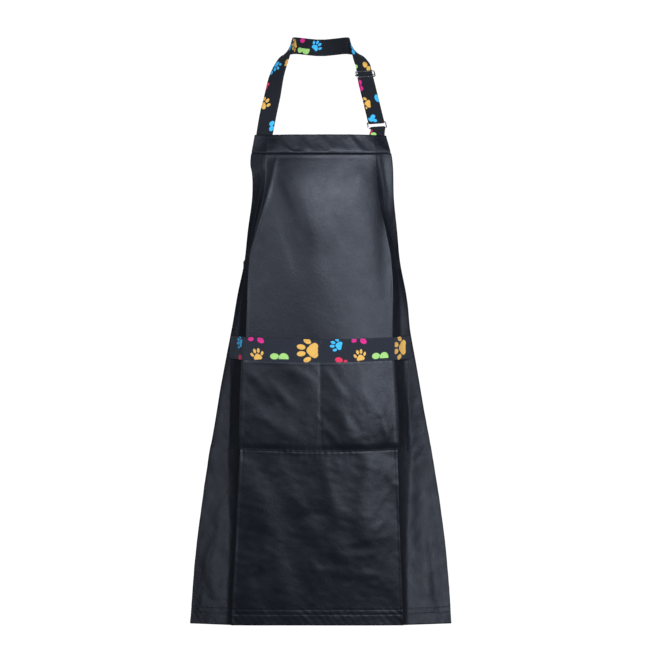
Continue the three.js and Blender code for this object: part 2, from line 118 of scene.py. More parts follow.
def cloth_point(u, z):
    """Place on the smooth cloth: u is 0 at the middle, 1 at the pressed crease, 2 at the edge."""
    u, z = np.broadcast_arrays(np.asarray(u, float), np.asarray(z, float))
    a = np.abs(u)
    inner = np.minimum(a, 1)
    tuck = np.where(u < 0, value_at(LEFT_TUCK, z), -value_at(RIGHT_EASE, z))
    shift = np.where(u < 0, value_at(LEFT_CREASE_IN, z), value_at(RIGHT_CREASE_IN, z))
    crease_x = value_at(CREASE_X, z) - 0.6 * np.maximum(tuck, 0) - shift * inner ** 3
    edge_x = value_at(EDGE_X, z) - tuck
    w = np.maximum(a - 1, 0)
    turn = value_at(CREASE_TURN, z) * (1 - np.exp(-w / 0.06)) * (1 - w)
    knee = value_at(SIDE_KNEE, z)
    rising, falling = w / knee, np.clip((1 - w) / (1 - knee), 0, 1.5) ** 1.6
    tent = (rising + falling - np.sqrt((rising - falling) ** 2 + 0.09)) * knee / 2
    hollow = value_at(SIDE_HOLLOW, z) * np.maximum(tent, 0) + turn
    x = crease_x * inner + (edge_x - crease_x) * (w - hollow)
    back = value_at(CREASE_BACK, z) * inner ** 2 + (value_at(EDGE_BACK, z) + tuck) * (w + hollow)
    rise = value_at(EDGE_RISE, z) * (x / edge_x) ** 2 - value_at(HEM_DROP, z) * back
    return np.stack([np.sign(u) * x, value_at(FRONT_Y, z) + back, z + rise], axis=-1)


def unit(v):
    return v / np.maximum(np.linalg.norm(v, axis=-1, keepdims=True), 1e-12)


def cloth_normal(u, z):
    """Unit normal facing the front, taken as the mean of both sides so that it is fair at the crease."""
    step = 0.02
    up = cloth_point(u, np.minimum(z + 1.0, BIB_TOP)) - cloth_point(u, np.maximum(z - 1.0, HEM_FOOT))
    here = cloth_point(u, z)
    left = unit(np.cross(here - cloth_point(u - step, z), up))
    right = unit(np.cross(cloth_point(u + step, z) - here, up))
    return unit(left + right)


def side_length(z):
    return np.hypot(value_at(EDGE_X, z) - value_at(CREASE_X, z), value_at(EDGE_BACK, z))


def flat_of(u, z):
    """Signed distance from the middle, measured along the cloth."""
    a = np.abs(u)
    beyond = np.maximum(a - 1, 0) * side_length(z)
    return np.sign(u) * (np.minimum(a, 1) * value_at(CREASE_X, z) + beyond)


def u_at_flat(flat, z):
    flat = np.asarray(flat, float)
    crease = value_at(CREASE_X, z)
    a = np.abs(flat)
    beyond = np.clip((a - crease) / side_length(z), 0, 0.985)
    return np.sign(flat) * (np.minimum(a / crease, 1) + beyond)


def u_from_edge(distance, z):
    return 2 - distance / side_length(z)


# ---- folds and wrinkles
def noise(x, y, seed, sharp=False):
    """Smooth random surface from -1 to 1 with features one unit wide; sharp gives ridges."""
    table = np.random.default_rng(seed).uniform(-1, 1, (128, 128))
    xi, yi = np.floor(x).astype(int), np.floor(y).astype(int)
    tx, ty = x - xi, y - yi
    tx, ty = tx ** 3 * (tx * (6 * tx - 15) + 10), ty ** 3 * (ty * (6 * ty - 15) + 10)

    def corner(dx, dy):
        return table[(xi + dx) % 128, (yi + dy) % 128]

    low = corner(0, 0) * (1 - tx) + corner(1, 0) * tx
    high = corner(0, 1) * (1 - tx) + corner(1, 1) * tx
    value = low * (1 - ty) + high * ty
    return 1 - 2 * np.sqrt(value ** 2 + 0.004) if sharp else value


def ramp(value, start, end):
    t = np.clip((value - start) / (end - start), 0, 1)
    return t * t * (3 - 2 * t)


def fold(s, z, start, end, width, height, skew=0.0, tail=0.25):
    """A long soft ridge between two points of the flat cloth; skew makes one flank steeper."""
    (sx, sz), (ex, ez) = start, end
    length = math.hypot(ex - sx, ez - sz)
    dx, dz = (ex - sx) / length, (ez - sz) / length
    along = ((s - sx) * dx + (z - sz) * dz) / length
    across = (s - sx) * dz - (z - sz) * dx
    local = width * (1 + skew * np.tanh(across / width))
    ends = ramp(along, -tail, tail) * (1 - ramp(along, 1 - tail, 1 + tail))
    return height * np.exp(-(across / local) ** 2) * ends


def swelling(s, z, at, width, height, lift):
    """A broad soft rise of the cloth."""
    return lift * np.exp(-((s - at[0]) / width) ** 2 - ((z - at[1]) / height) ** 2)


def turned(s, z, degrees):
    c, n = math.cos(math.radians(degrees)), math.sin(math.radians(degrees))
    return s * c + z * n, -s * n + z * c


BIB_FOLDS = [  # start, end, width, height, skew
    ((-66, -236), (-4, -372), 30, 3.5, -0.45),
    ((-92, -262), (-40, -430), 17, -2.0, 0.0),
    ((-40, -330), (12, -470), 30, 1.0, 0.3),
    ((60, -232), (96, -400), 26, 1.2, 0.2),
    ((118, -345), (125, -505), 16, -2.0, 0.0),
    ((114, -224), (127, -345), 14, -3.0, 0.0),
    ((110, -216), (126, -300), 4, 0.6, 0.0),
    ((-100, -222), (-112, -300), 6, -1.6, 0.0),
    ((-84, -226), (-106, -314), 3.6, 1.3, 0.0),
    ((-104, -306), (-131, -404), 3.2, 1.3, 0.0),
]
SKIRT_FOLDS = [
    ((-100, -870), (-60, -1056), 24, 2.0, 0.3),
    ((-128, -800), (-96, -930), 20, 1.3, 0.0),
    ((92, -780), (78, -920), 24, 2.1, -0.2),
    ((120, -900), (60, -940), 11, 0.6, 0.0),
    ((130, -925), (10, -945), 8, 0.45, 0.0),
    ((100, -962), (-8, -955), 9, 0.6, 0.0),
    ((0, -780), (26, -870), 12, 1.2, 0.0),
    ((-60, -900), (10, -880), 12, -1.1, 0.0),
    ((-20, -985), (110, -1000), 9, 0.8, 0.0),
    ((-120, -1010), (-60, -960), 15, -1.2, 0.0),
    ((205, -800), (232, -1010), 20, 1.8, 0.25),
    ((-200, -820), (-228, -1040), 20, 1.6, -0.25),
    ((236, -930), (262, -1060), 14, -1.4, 0.0),
    ((-240, -960), (-262, -1070), 14, 1.2, 0.0),
]
POCKET_FOLDS = [
    ((-128, -625), (-92, -668), 9, 1.3, 0.0),
    ((-96, -640), (-46, -690), 10, 1.0, 0.0),
    ((-120, -700), (-50, -742), 13, 1.1, 0.0),
    ((-60, -612), (-12, -640), 12, 1.2, 0.3),
    ((4, -612), (44, -668), 12, 1.6, 0.35),
    ((20, -668), (60, -742), 11, 0.9, 0.0),
    ((66, -640), (112, -700), 16, 1.4, 0.0),
    ((116, -690), (128, -745), 9, 1.2, 0.0),
    ((-8, -700), (30, -750), 7, 0.9, 0.0),
]


BODY_SWELLS = [  # centre, width, height, rise
    ((88, -925), 60, 80, 3.4),
    ((-116, -862), 42, 52, 2.2),
    ((-34, -925), 42, 64, -1.8),
    ((-130, -1010), 46, 60, 1.6),
]
POCKET_SWELLS = [
    ((58, -722), 56, 58, 1.6),
    ((-96, -742), 40, 44, 2.4),
    ((-52, -655), 50, 44, -1.6),
]


def drape(s, z):
    """How far the hanging cloth stands off its smooth shape, towards the front, in millimetres."""
    skirt = ramp(-z, 600, 760)
    bib = 1 - ramp(-z, 420, 560)
    below_facing = ramp(-z, 208, 226)
    d = 1.5 * noise(s / 95 + 3, z / 130 + 7, 11) * (0.35 + 0.65 * skirt)
    a, b = turned(s, z, 28)
    d = d + (0.3 + 0.5 * skirt) * noise(a / 32 + 9, b / 66 + 4, 12)
    a, b = turned(s, z, -35)
    d = d + 0.24 * skirt * noise(a / 20, b / 34, 13, sharp=True)
    a, b = turned(s, z, 75)
    d = d + 0.16 * (0.25 + skirt) * noise(a / 9, b / 17, 14)
    d = d + 6.0 * np.exp(-((s - 30) / 110) ** 2) * ramp(-z, 330, 570) * (1 - ramp(-z, 620, 1080))
    for swell in BODY_SWELLS:
        d = d + swelling(s, z, *swell)
    for start, end, width, height, skew in BIB_FOLDS:
        d = d + fold(s, z, start, end, width, height, skew) * below_facing * bib
    for start, end, width, height, skew in SKIRT_FOLDS:
        d = d + fold(s, z, start, end, width, height, skew) * skirt
    return d + facing_buckles(s, z) + hem_puckers(s, z) + seam_puckers(s, z) + crease_ridge(s, z)


def facing_buckles(s, z):
    inside = 1 - ramp(-z, 204, 212)
    a, b = turned(s, z, 42)
    wave = 0.8 * noise(a / 17, b / 40 + 2, 21) + 0.35 * noise(a / 8 + 5, b / 22, 22)
    groove = -0.8 * np.exp(-((z - FACING_SEAM) / 1.1) ** 2)
    swell = 0.8 * np.exp(-((z - FACING_SEAM + 4.8) / 2.6) ** 2)
    ends = 1 - ramp(np.abs(s), 92, 122)
    pulls = swelling(s, z, (122, -168), 30, 26, 5.5) + swelling(s, z, (-99, -170), 16, 24, 2.6)
    return wave * inside + groove + swell * ends - pulls


def hem_puckers(s, z):
    in_hem = ramp(-z, -HEM_SEAM - 16, -HEM_SEAM + 2)
    slant = s + 0.9 * z + 6 * noise(s / 40, z / 40, 31)
    rope = np.sin(slant * 2 * math.pi / 15) * (0.5 + 0.35 * noise(s / 30, z * 0 + 2, 32))
    grooves = sum(np.exp(-((z - row) / 1.3) ** 2) for row in HEM_ROWS)
    return 0.27 * rope * in_hem - 0.35 * grooves


def seam_puckers(s, z):
    near = np.exp(-np.abs(z - POCKET_FOOT) / 9.0) * (1 - ramp(np.abs(s), POCKET_HALF, POCKET_HALF + 8))
    ripple = np.sin(s * 2 * math.pi / 11 + 3 * noise(s / 26, z * 0 + 1, 41))
    lip = np.exp(-((z - POCKET_FOOT + 3.4) / 2.2) ** 2) * (1 - ramp(np.abs(s), POCKET_HALF - 8, POCKET_HALF))
    lip = lip * (0.22 + 0.3 * noise(s / 22, z * 0 + 4, 43))
    return 0.55 * near * ripple * (0.5 + 0.5 * noise(s / 18, z * 0 + 6, 42)) + lip


def crease_ridge(s, z):
    """The pressed fold stands up as a fine ridge from the waist down."""
    from_crease = np.abs(s) - value_at(CREASE_X, z)
    strength = ramp(-z, 415, 470)
    at_pocket = 0.5 * ramp(-z, 590, 610) * (1 - ramp(-z, 755, 790))
    pinch = (1.25 + at_pocket) * np.exp(-(from_crease / 2.2) ** 2)
    return strength * (pinch - 0.5 * np.exp(-((from_crease - 7) / 5) ** 2))


def pocket_stand_off(s, z):
    """How far the pocket's front stands off the apron; nothing at its seams, most at its mouth."""
    across = np.abs(np.sin(np.pi * np.clip(np.abs(s) / POCKET_HALF, 0, 1)))
    down = np.clip((z - POCKET_FOOT) / (POCKET_TOP - POCKET_FOOT), 0, 1)
    right = ramp(s, 4, 50)
    bulge = (5.2 - 2.2 * right) * across ** 0.8 * (1 - (1 - down) ** 2.3)
    below = np.clip((BAND_FOOT - z) / (BAND_FOOT - POCKET_FOOT), 0, 1)
    sag = 6.0 * right * (1 - ramp(s, 135, 185)) * below * (1 - below ** 5)
    wrinkle = sum(fold(s, z, *f) for f in POCKET_FOLDS) + sum(swelling(s, z, *w) for w in POCKET_SWELLS)
    a, b = turned(s, z, 33)
    wrinkle = wrinkle + 0.45 * noise(a / 30 + 2, b / 44, 51) + 0.16 * noise(a / 14, b / 24, 52, sharp=True)
    inside = ramp(POCKET_HALF - np.abs(s), 0, 10) * ramp(z - POCKET_FOOT, 0, 15) * ramp(BAND_FOOT - z, -6, 8)
    middle = -0.45 * np.exp(-(s / 2.6) ** 2) * ramp(BAND_FOOT - z, 0, 4)
    lip = 0.8 * np.exp(-((z - BAND_FOOT + 3.2) / 1.5) ** 2)
    return 1.1 + bulge + sag + (0.8 + wrinkle) * inside + middle + lip


def on_cloth(u, z, off=0.0):
    """Places off the draped cloth by a distance in millimetres."""
    s = flat_of(u, z)
    return cloth_point(u, z) + cloth_normal(u, z) * (drape(s, z) + off)[..., None]


# ---- meshes
def new_mesh(name, points, faces, uvs, materials, face_material=None, sharp_degrees=45):
    """One object from points in millimetres; uvs are given per point, in metres."""
    mesh = bpy.data.meshes.new(name)
    mesh.from_pydata((points * MM).tolist(), [], faces)
    layer = mesh.uv_layers.new(name="Cloth")
    loops = np.zeros(len(mesh.loops), np.int32)
    mesh.loops.foreach_get("vertex_index", loops)
    layer.data.foreach_set("uv", np.asarray(uvs, np.float32)[loops].ravel())
    for material in materials:
        mesh.materials.append(material)
    if face_material is not None:
        mesh.polygons.foreach_set("material_index", np.asarray(face_material, np.int32))
    mesh.polygons.foreach_set("use_smooth", np.ones(len(mesh.polygons), bool))
    mesh.set_sharp_from_angle(angle=math.radians(sharp_degrees))
    mesh.update()
    obj = bpy.data.objects.new(name, mesh)
    bpy.context.collection.objects.link(obj)
    return obj


def finished(obj, body, slot, *nodes):
    """Puts a piece on its body; given two bodies and two points instead, it leaves the piece unparented with
    its placement baked in.
    """
    if isinstance(body, str):
        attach(obj, body)
    else:
        first, second, start, end = body
        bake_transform(obj)
        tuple(start)
        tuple(end)
    if nodes:
        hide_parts(*nodes)
    return obj


def slab(name, front, back, uvs, materials):
    """A closed thin solid between two grids of points; the back takes the last material."""
    rows, cols = front.shape[:2]
    count = rows * cols
    grid = np.arange(count).reshape(rows, cols)
    a, b, c, d = grid[:-1, :-1], grid[:-1, 1:], grid[1:, 1:], grid[1:, :-1]
    faces = np.stack([a, d, c, b], -1).reshape(-1, 4).tolist()
    back_faces = (np.stack([a, b, c, d], -1).reshape(-1, 4) + count).tolist()
    rim = list(grid[0, :]) + list(grid[1:, -1]) + list(grid[-1, -2::-1]) + list(grid[-2:0:-1, 0])
    rim_faces = [[int(p), int(q), int(q) + count, int(p) + count] for p, q in zip(rim, rim[1:] + rim[:1])]
    points = np.concatenate([front.reshape(-1, 3), back.reshape(-1, 3)])
    kinds = [0] * len(faces) + [len(materials) - 1] * len(back_faces) + [0] * len(rim_faces)
    flat = uvs.reshape(-1, 2)
    all_faces = faces + back_faces + rim_faces
    return new_mesh(name, points, all_faces, np.concatenate([flat, flat]), materials, kinds)


def loft(name, rings, uvs, materials, closed=False, sharp_degrees=50):
    """A solid through rings of points; closed joins the last ring to the first."""
    stations, around = rings.shape[:2]
    grid = np.arange(stations * around).reshape(stations, around)
    following = np.roll(grid, -1, axis=1)
    last = stations if closed else stations - 1
    above = np.roll(grid, -1, axis=0)
    corners = np.stack([grid, following, np.roll(above, -1, axis=1), above], -1)
    faces = corners[:last].reshape(-1, 4).tolist()
    if not closed:
        faces.append([int(v) for v in grid[0, ::-1]])
        faces.append([int(v) for v in grid[-1]])
    points = rings.reshape(-1, 3)
    return new_mesh(name, points, outward(points, faces), uvs.reshape(-1, 2), materials, None, sharp_degrees)


def outward(points, faces):
    """The same faces, turned round if they point inwards."""
    volume = 0.0
    for f in faces:
        for k in range(1, len(f) - 1):
            volume += float(np.dot(points[f[0]], np.cross(points[f[k]], points[f[k + 1]])))
    return faces if volume > 0 else [f[::-1] for f in faces]


def area_m2(points):
    """Area of a grid of points in millimetres."""
    across, down = points[:-1, 1:] - points[:-1, :-1], points[1:, :-1] - points[:-1, :-1]
    return float(np.linalg.norm(np.cross(across, down), axis=-1).sum()) * MM * MM


def between(a, b, step):
    return np.linspace(a, b, max(2, int(math.ceil(abs(b - a) / step)) + 1))


def joined(*pieces):
    """Runs of values joined end to end, without their repeated ends."""
    out = list(pieces[0])
    for piece in pieces[1:]:
        out.extend(list(piece)[1:])
    return np.array(out)


def across_u(limit, step=0.022):
    """Steps of u from -limit to limit, fine beside the creases."""
    half = joined(between(0, 0.94, step), between(0.94, 1.06, 0.008), between(1.06, limit, step * 1.7))
    return np.concatenate([-half[:0:-1], half])


# ---- flat strips along a path
def hermite(points, per_span):
    """Smooth curve through rows of numbers, like a Catmull-Rom spline."""
    p = np.array(points, float)
    padded = np.vstack([2 * p[0] - p[1], p, 2 * p[-1] - p[-2]])
    out = []
    for i in range(len(p) - 1):
        p0, p1, p2, p3 = padded[i:i + 4]
        for k in range(per_span):
            t = k / per_span
            out.append(0.5 * (2 * p1 + (p2 - p0) * t + (2 * p0 - 5 * p1 + 4 * p2 - p3) * t * t
                              + (3 * p1 - p0 - 3 * p2 + p3) * t ** 3))
    out.append(p[-1])
    return np.array(out)


def strip_frames(path, wide):
    """Tangent, width direction and normal at each point of a path."""
    ahead = unit(np.gradient(path, axis=0))
    wide = unit(wide - (wide * ahead).sum(-1, keepdims=True) * ahead)
    return ahead, wide, np.cross(wide, ahead)


def uv_of(along, across):
    """UV for every pair of a distance along and a distance across."""
    return np.stack(np.broadcast_arrays(along[:, None], across[None, :]), -1)


def along_path(path):
    return np.concatenate([[0], np.cumsum(np.linalg.norm(np.diff(path, axis=0), axis=1))])


def strip_section(width, thickness):
    """Outline of a strip's cross-section: folded edges are rounded, the faces very slightly full."""
    half, t = width / 2, thickness / 2
    cells = 8
    c = np.linspace(-1, 1, cells + 1)
    full = 1 - 0.3 * np.abs(c) ** 6
    face = [(half * x * 0.985, t * f) for x, f in zip(c, full)]
    back = [(half * x * 0.985, -t * f) for x, f in zip(c[::-1], full[::-1])]
    return np.array([*face, (half, 0.0), *back, (-half, 0.0)])


def strip(name, path, wide, width, thickness, material, start=0.0, ripple=None):
    """A flat strip and its length; its UV is (distance along, distance across) in metres, from start."""
    side, normal = strip_frames(path, wide)[1:]
    section = strip_section(width, thickness)
    length = along_path(path)
    across, out = section[:, 0], section[:, 1]
    lift = out[None, :] + (ripple(length[:, None] + start, across[None, :]) if ripple else 0)
    rings = path[:, None, :] + side[:, None, :] * across[None, :, None] + normal[:, None, :] * lift[..., None]
    obj = loft(name, rings, uv_of(length + start, across) * MM, [material], sharp_degrees=60)
    return obj, length[-1]


# ---- the straight run with ring and slider
def perpendicular(direction, to):
    direction = np.array(direction, float)
    return unit(direction - direction.dot(to) * to)


RUN_FOOT = np.array([105.0, -116.0, -152.0])
RUN_UP = unit(np.array([-21.5, 24.0, 91.5]))
RUN_SIDE = perpendicular([-1, -0.45, 0], RUN_UP)
RUN_FRONT = np.cross(RUN_UP, RUN_SIDE)
BAR_RADIUS = WIRE / 2
BAR_GAP = 0.5
RING_BACK = -(CLOTH / 2 + BAR_GAP + BAR_RADIUS)
BAR_SPACING = RING_HEIGHT - WIRE
SLIDER_OUT = CLOTH / 2 + 0.3 + BAR_RADIUS
CENTRE_BAR_HALF = 1.1
END_TURN = CENTRE_BAR_HALF + BAR_GAP + PLY / 2
CENTRE_BAR_OUT = -(CLOTH / 2 + 0.3 + PLY / 2 + END_TURN)
LOOP_REACH = 12.0


def on_run(up, out=0.0, side=0.0):
    """A point in the run's frame: up the strap from the ring, out to the front, and along the bars."""
    return RUN_FOOT + RUN_UP * up + RUN_FRONT * out + RUN_SIDE * side


def half_turn(centre, start, over, radius, steps=12):
    angle = np.linspace(0, math.pi, steps + 1)[:, None]
    return centre + radius * (np.cos(angle) * start + np.sin(angle) * over)


# ---- shader helpers
def new_material(name):
    material = bpy.data.materials.new(name)
    material.use_nodes = True
    tree = material.node_tree
    tree.nodes.clear()
    output = tree.nodes.new("ShaderNodeOutputMaterial")
    shader = tree.nodes.new("ShaderNodeBsdfPrincipled")
    tree.links.new(shader.outputs["BSDF"], output.inputs["Surface"])
    return material, tree, shader


def put(tree, kind, inputs=(), **settings):
    """Adds a node; inputs is a list of (socket name or number, value or linked output)."""
    node = tree.nodes.new(kind)
    for key, value in settings.items():
        setattr(node, key, value)
    for key, value in inputs:
        if isinstance(value, bpy.types.NodeSocket):
            tree.links.new(value, node.inputs[key])
        else:
            node.inputs[key].default_value = value
    return node


def calc(tree, operation, *values):
    node = put(tree, "ShaderNodeMath", list(enumerate(values)), operation=operation)
    return node.outputs[0]


def cloth_uv(tree):
    return put(tree, "ShaderNodeUVMap", uv_map="Cloth").outputs[0]


def texture_noise(tree, vector, scale, detail=2.0, roughness=0.5):
    node = put(tree, "ShaderNodeTexNoise", [("Vector", vector), ("Scale", scale), ("Detail", detail),
                                            ("Roughness", roughness)])
    return node.outputs["Fac"]


def fraction(tree, value, low, high):
    """0 at low, 1 at high."""
    return spread_to(tree, value, low, high, 0, 1)


def placed(tree, vector, x, y, degrees, wide, high):
    """The vector as seen from a place, turned and scaled to it."""
    inputs = [("Vector", vector), ("Location", (x, y, 0)), ("Rotation", (0, 0, math.radians(degrees))),
              ("Scale", (wide, high, 1))]
    return put(tree, "ShaderNodeMapping", inputs, vector_type="TEXTURE").outputs[0]


def spread_to(tree, value, low, high, to_low, to_high):
    node = put(tree, "ShaderNodeMapRange", [("Value", value), ("From Min", low), ("From Max", high),
                                            ("To Min", to_low), ("To Max", to_high)])
    return node.outputs[0]


def mixed(tree, factor, a, b):
    node = put(tree, "ShaderNodeMix", data_type="RGBA")
    for key, value in ((0, factor), (6, a), (7, b)):
        if isinstance(value, bpy.types.NodeSocket):
            tree.links.new(value, node.inputs[key])
        else:
            node.inputs[key].default_value = value
    return node.outputs[2]


def bumped(tree, height, strength, distance, under=None):
    inputs = [("Height", height), ("Strength", strength), ("Distance", distance)]
    if under is not None:
        inputs.append(("Normal", under))
    return put(tree, "ShaderNodeBump", inputs).outputs[0]


def connect(tree, shader, **inputs):
    names = {"base": "Base Color", "rough": "Roughness", "normal": "Normal"}
    for key, value in inputs.items():
        tree.links.new(value, shader.inputs[names[key]])


COOL = (0.80, 0.94, 1.30)  # the blue cast of every black


def grey(value):
    return (value * COOL[0], value * COOL[1], value * COOL[2], 1.0)


# ---- materials
def coated_cloth():
    """Black coated cloth: a fine pebbled skin, satin, with faint clouding and rubbed high spots."""
    material, tree, shader = new_material("coated_cloth_black")
    uv = cloth_uv(tree)
    cloud = texture_noise(tree, uv, 22, 4, 0.6)
    base = mixed(tree, fraction(tree, cloud, 0.3, 0.7), grey(0.0038), grey(0.0068))
    pebble = put(tree, "ShaderNodeTexVoronoi", [("Vector", uv), ("Scale", 950.0), ("Randomness", 0.9)],
                 feature="SMOOTH_F1").outputs["Distance"]
    worn = fraction(tree, texture_noise(tree, uv, 65, 5, 0.65), 0.52, 0.75)
    base = mixed(tree, calc(tree, "MULTIPLY", worn, 0.35), base, grey(0.013))
    rough = spread_to(tree, texture_noise(tree, uv, 34, 5, 0.65), 0.28, 0.72, 0.32, 0.45)
    rough = calc(tree, "ADD", rough, calc(tree, "MULTIPLY", pebble, 0.07))
    soft = bumped(tree, texture_noise(tree, uv, 150, 4, 0.6), 0.45, 0.0006)
    normal = bumped(tree, pebble, 0.30, 0.00012, soft)
    connect(tree, shader, base=base, rough=rough, normal=normal)
    shader.inputs["Specular IOR Level"].default_value = 0.30
    shader.inputs["Coat Weight"].default_value = 0.06
    shader.inputs["Coat Roughness"].default_value = 0.28
    return material


def weave_height(tree, uv, pitch):
    """A plain weave: threads go over and under every pitch metres."""
    parts = put(tree, "ShaderNodeSeparateXYZ", [(0, uv)])
    waves = [calc(tree, "SINE", calc(tree, "MULTIPLY", parts.outputs[k], math.pi / pitch)) for k in (0, 1)]
    return calc(tree, "MULTIPLY", waves[0], waves[1])


def cloth_back():
    """The woven grey-black backing on the inside of the coated cloth."""
    material, tree, shader = new_material("cloth_backing")
    uv = cloth_uv(tree)
    height = weave_height(tree, uv, 0.0011)
    base = mixed(tree, fraction(tree, height, -1, 1), grey(0.018), grey(0.050))
    cloud = spread_to(tree, texture_noise(tree, uv, 40, 4), 0.35, 0.65, 0, 0.5)
    base = mixed(tree, cloud, base, grey(0.036))
    normal = bumped(tree, height, 0.5, 0.0003)
    rough = spread_to(tree, texture_noise(tree, uv, 300, 2), 0.2, 0.8, 0.78, 0.95)
    connect(tree, shader, base=base, rough=rough, normal=normal)
    shader.inputs["Sheen Weight"].default_value = 0.25
    shader.inputs["Sheen Roughness"].default_value = 0.6
    return material


ORANGE = (0.93, 0.50, 0.085, 1.0)
CYAN = (0.05, 0.55, 0.88, 1.0)
MAGENTA = (0.86, 0.012, 0.24, 1.0)
RED = (0.90, 0.024, 0.085, 1.0)
GREEN = (0.44, 0.76, 0.18, 1.0)

# one paw about one unit across: centre x, y, radius x, y, turn in degrees
PAD = [(0.0, -0.17, 0.27, 0.20, 0), (-0.17, -0.24, 0.14, 0.14, 0), (0.17, -0.24, 0.14, 0.14, 0),
       (0.0, -0.08, 0.17, 0.17, 0)]
TOES = [(-0.38, 0.06, 0.10, 0.16, 24), (-0.14, 0.31, 0.105, 0.175, 8), (0.14, 0.31, 0.105, 0.175, -8),
        (0.38, 0.06, 0.10, 0.16, -24)]


def ellipse_distance(tree, vector, x, y, rx, ry, degrees):
    """1 on an ellipse's edge, less inside it."""
    place = placed(tree, vector, x, y, degrees, rx, ry)
    return put(tree, "ShaderNodeVectorMath", [(0, place)], operation="LENGTH").outputs["Value"]


def shape_group(name, ellipses, flat_foot=None):
    """A node group: a vector in, and out a mask that is 1 inside the shape."""
    group = bpy.data.node_groups.new(name, "ShaderNodeTree")
    group.interface.new_socket("Vector", in_out="INPUT", socket_type="NodeSocketVector")
    group.interface.new_socket("Mask", in_out="OUTPUT", socket_type="NodeSocketFloat")
    source = group.nodes.new("NodeGroupInput").outputs[0]
    nearest = None
    for ellipse in ellipses:
        distance = ellipse_distance(group, source, *ellipse)
        nearest = distance if nearest is None else calc(group, "MINIMUM", nearest, distance)
    if flat_foot is not None:
        y = put(group, "ShaderNodeSeparateXYZ", [(0, source)]).outputs[1]
        below = spread_to(group, y, flat_foot, flat_foot - 0.08, 0.9, 1.2)
        nearest = calc(group, "MAXIMUM", nearest, below)
    mask = spread_to(group, nearest, 0.95, 1.07, 1, 0)
    group.links.new(mask, group.nodes.new("NodeGroupOutput").inputs[0])
    return group


def motif_groups():
    return {
        "paw": shape_group("paw_shape", PAD + TOES),
        "dot": shape_group("dot_shape", [(0, 0, 0.5, 0.36, 0)]),
        "dome": shape_group("dome_shape", [(0, -0.12, 0.5, 0.5, 0)], -0.2),
    }


def printed_cotton(name, groups, motifs, period=None, shade=1.0):
    """Black cotton with a bright print. Each motif: kind, x, y, size, turn, colour, in millimetres."""
    material, tree, shader = new_material(name)
    uv = cloth_uv(tree)
    parts = put(tree, "ShaderNodeSeparateXYZ", [(0, uv)])
    x, y = (calc(tree, "MULTIPLY", parts.outputs[k], 1000.0) for k in (0, 1))
    if period:
        start, length = period
        x = calc(tree, "ADD", calc(tree, "FLOORED_MODULO", calc(tree, "SUBTRACT", x, start), length), start)
    place = put(tree, "ShaderNodeCombineXYZ", [(0, x), (1, y)]).outputs[0]
    height = weave_height(tree, uv, 0.0006)
    slub = texture_noise(tree, uv, 260, 4, 0.6)
    # shade below 1 is painted shade: it darkens the black of strips that the lamps light too strongly
    black = mixed(tree, fraction(tree, slub, 0.3, 0.7), grey(0.010 * shade), grey(0.021 * shade))
    colour = black
    inked = 0.0
    for kind, mx, my, size, turn, ink in motifs:
        at = placed(tree, place, mx, my, turn, size, size)
        mask = put(tree, "ShaderNodeGroup", node_tree=groups[kind])
        tree.links.new(at, mask.inputs[0])
        colour = mixed(tree, mask.outputs[0], colour, ink)
        inked = calc(tree, "MAXIMUM", inked, mask.outputs[0])
    faded = mixed(tree, spread_to(tree, slub, 0.45, 0.8, 0, 0.22), colour, black)
    rough = spread_to(tree, slub, 0.2, 0.8, 0.74, 0.92)
    rough = calc(tree, "SUBTRACT", rough, calc(tree, "MULTIPLY", inked, 0.12))
    normal = bumped(tree, height, 0.45, 0.00016, bumped(tree, texture_noise(tree, uv, 90, 3), 0.3, 0.0004))
    connect(tree, shader, base=faded, rough=rough, normal=normal)
    shader.inputs["Sheen Weight"].default_value = 0.18 * shade
    shader.inputs["Sheen Roughness"].default_value = 0.5
    shader.inputs["Specular IOR Level"].default_value = 0.4
    return material


def nickel():
    """Bright nickel plate with fine draw lines and slight dulling where the strap rubs."""
    material, tree, shader = new_material("nickel_plate")
    uv = cloth_uv(tree)
    stretched = put(tree, "ShaderNodeMapping", [("Vector", uv), ("Scale", (60.0, 2400.0, 1.0))]).outputs[0]
    lines = texture_noise(tree, stretched, 1.0, 3, 0.6)
    haze = texture_noise(tree, uv, 180, 4, 0.6)
    base = mixed(tree, fraction(tree, haze, 0.35, 0.7), (0.78, 0.775, 0.75, 1), (0.60, 0.595, 0.575, 1))
    rough = spread_to(tree, haze, 0.3, 0.7, 0.14, 0.24)
    rough = calc(tree, "ADD", rough, calc(tree, "MULTIPLY", lines, 0.05))
    connect(tree, shader, base=base, rough=rough, normal=bumped(tree, lines, 0.12, 0.00005))
    shader.inputs["Metallic"].default_value = 1.0
    return material


def thread():
    """Black polyester sewing thread, twisted and a little shiny."""
    material, tree, shader = new_material("sewing_thread")
    uv = cloth_uv(tree)
    turned_uv = put(tree, "ShaderNodeMapping", [("Vector", uv), ("Rotation", (0, 0, 0.6)),
                                                ("Scale", (5200.0, 900.0, 1.0))]).outputs[0]
    twist = texture_noise(tree, turned_uv, 1.0, 1)
    base = mixed(tree, fraction(tree, twist, 0.35, 0.65), grey(0.012), grey(0.040))
    rough = spread_to(tree, twist, 0.3, 0.7, 0.38, 0.6)
    connect(tree, shader, base=base, rough=rough, normal=bumped(tree, twist, 0.5, 0.0002))
    return material


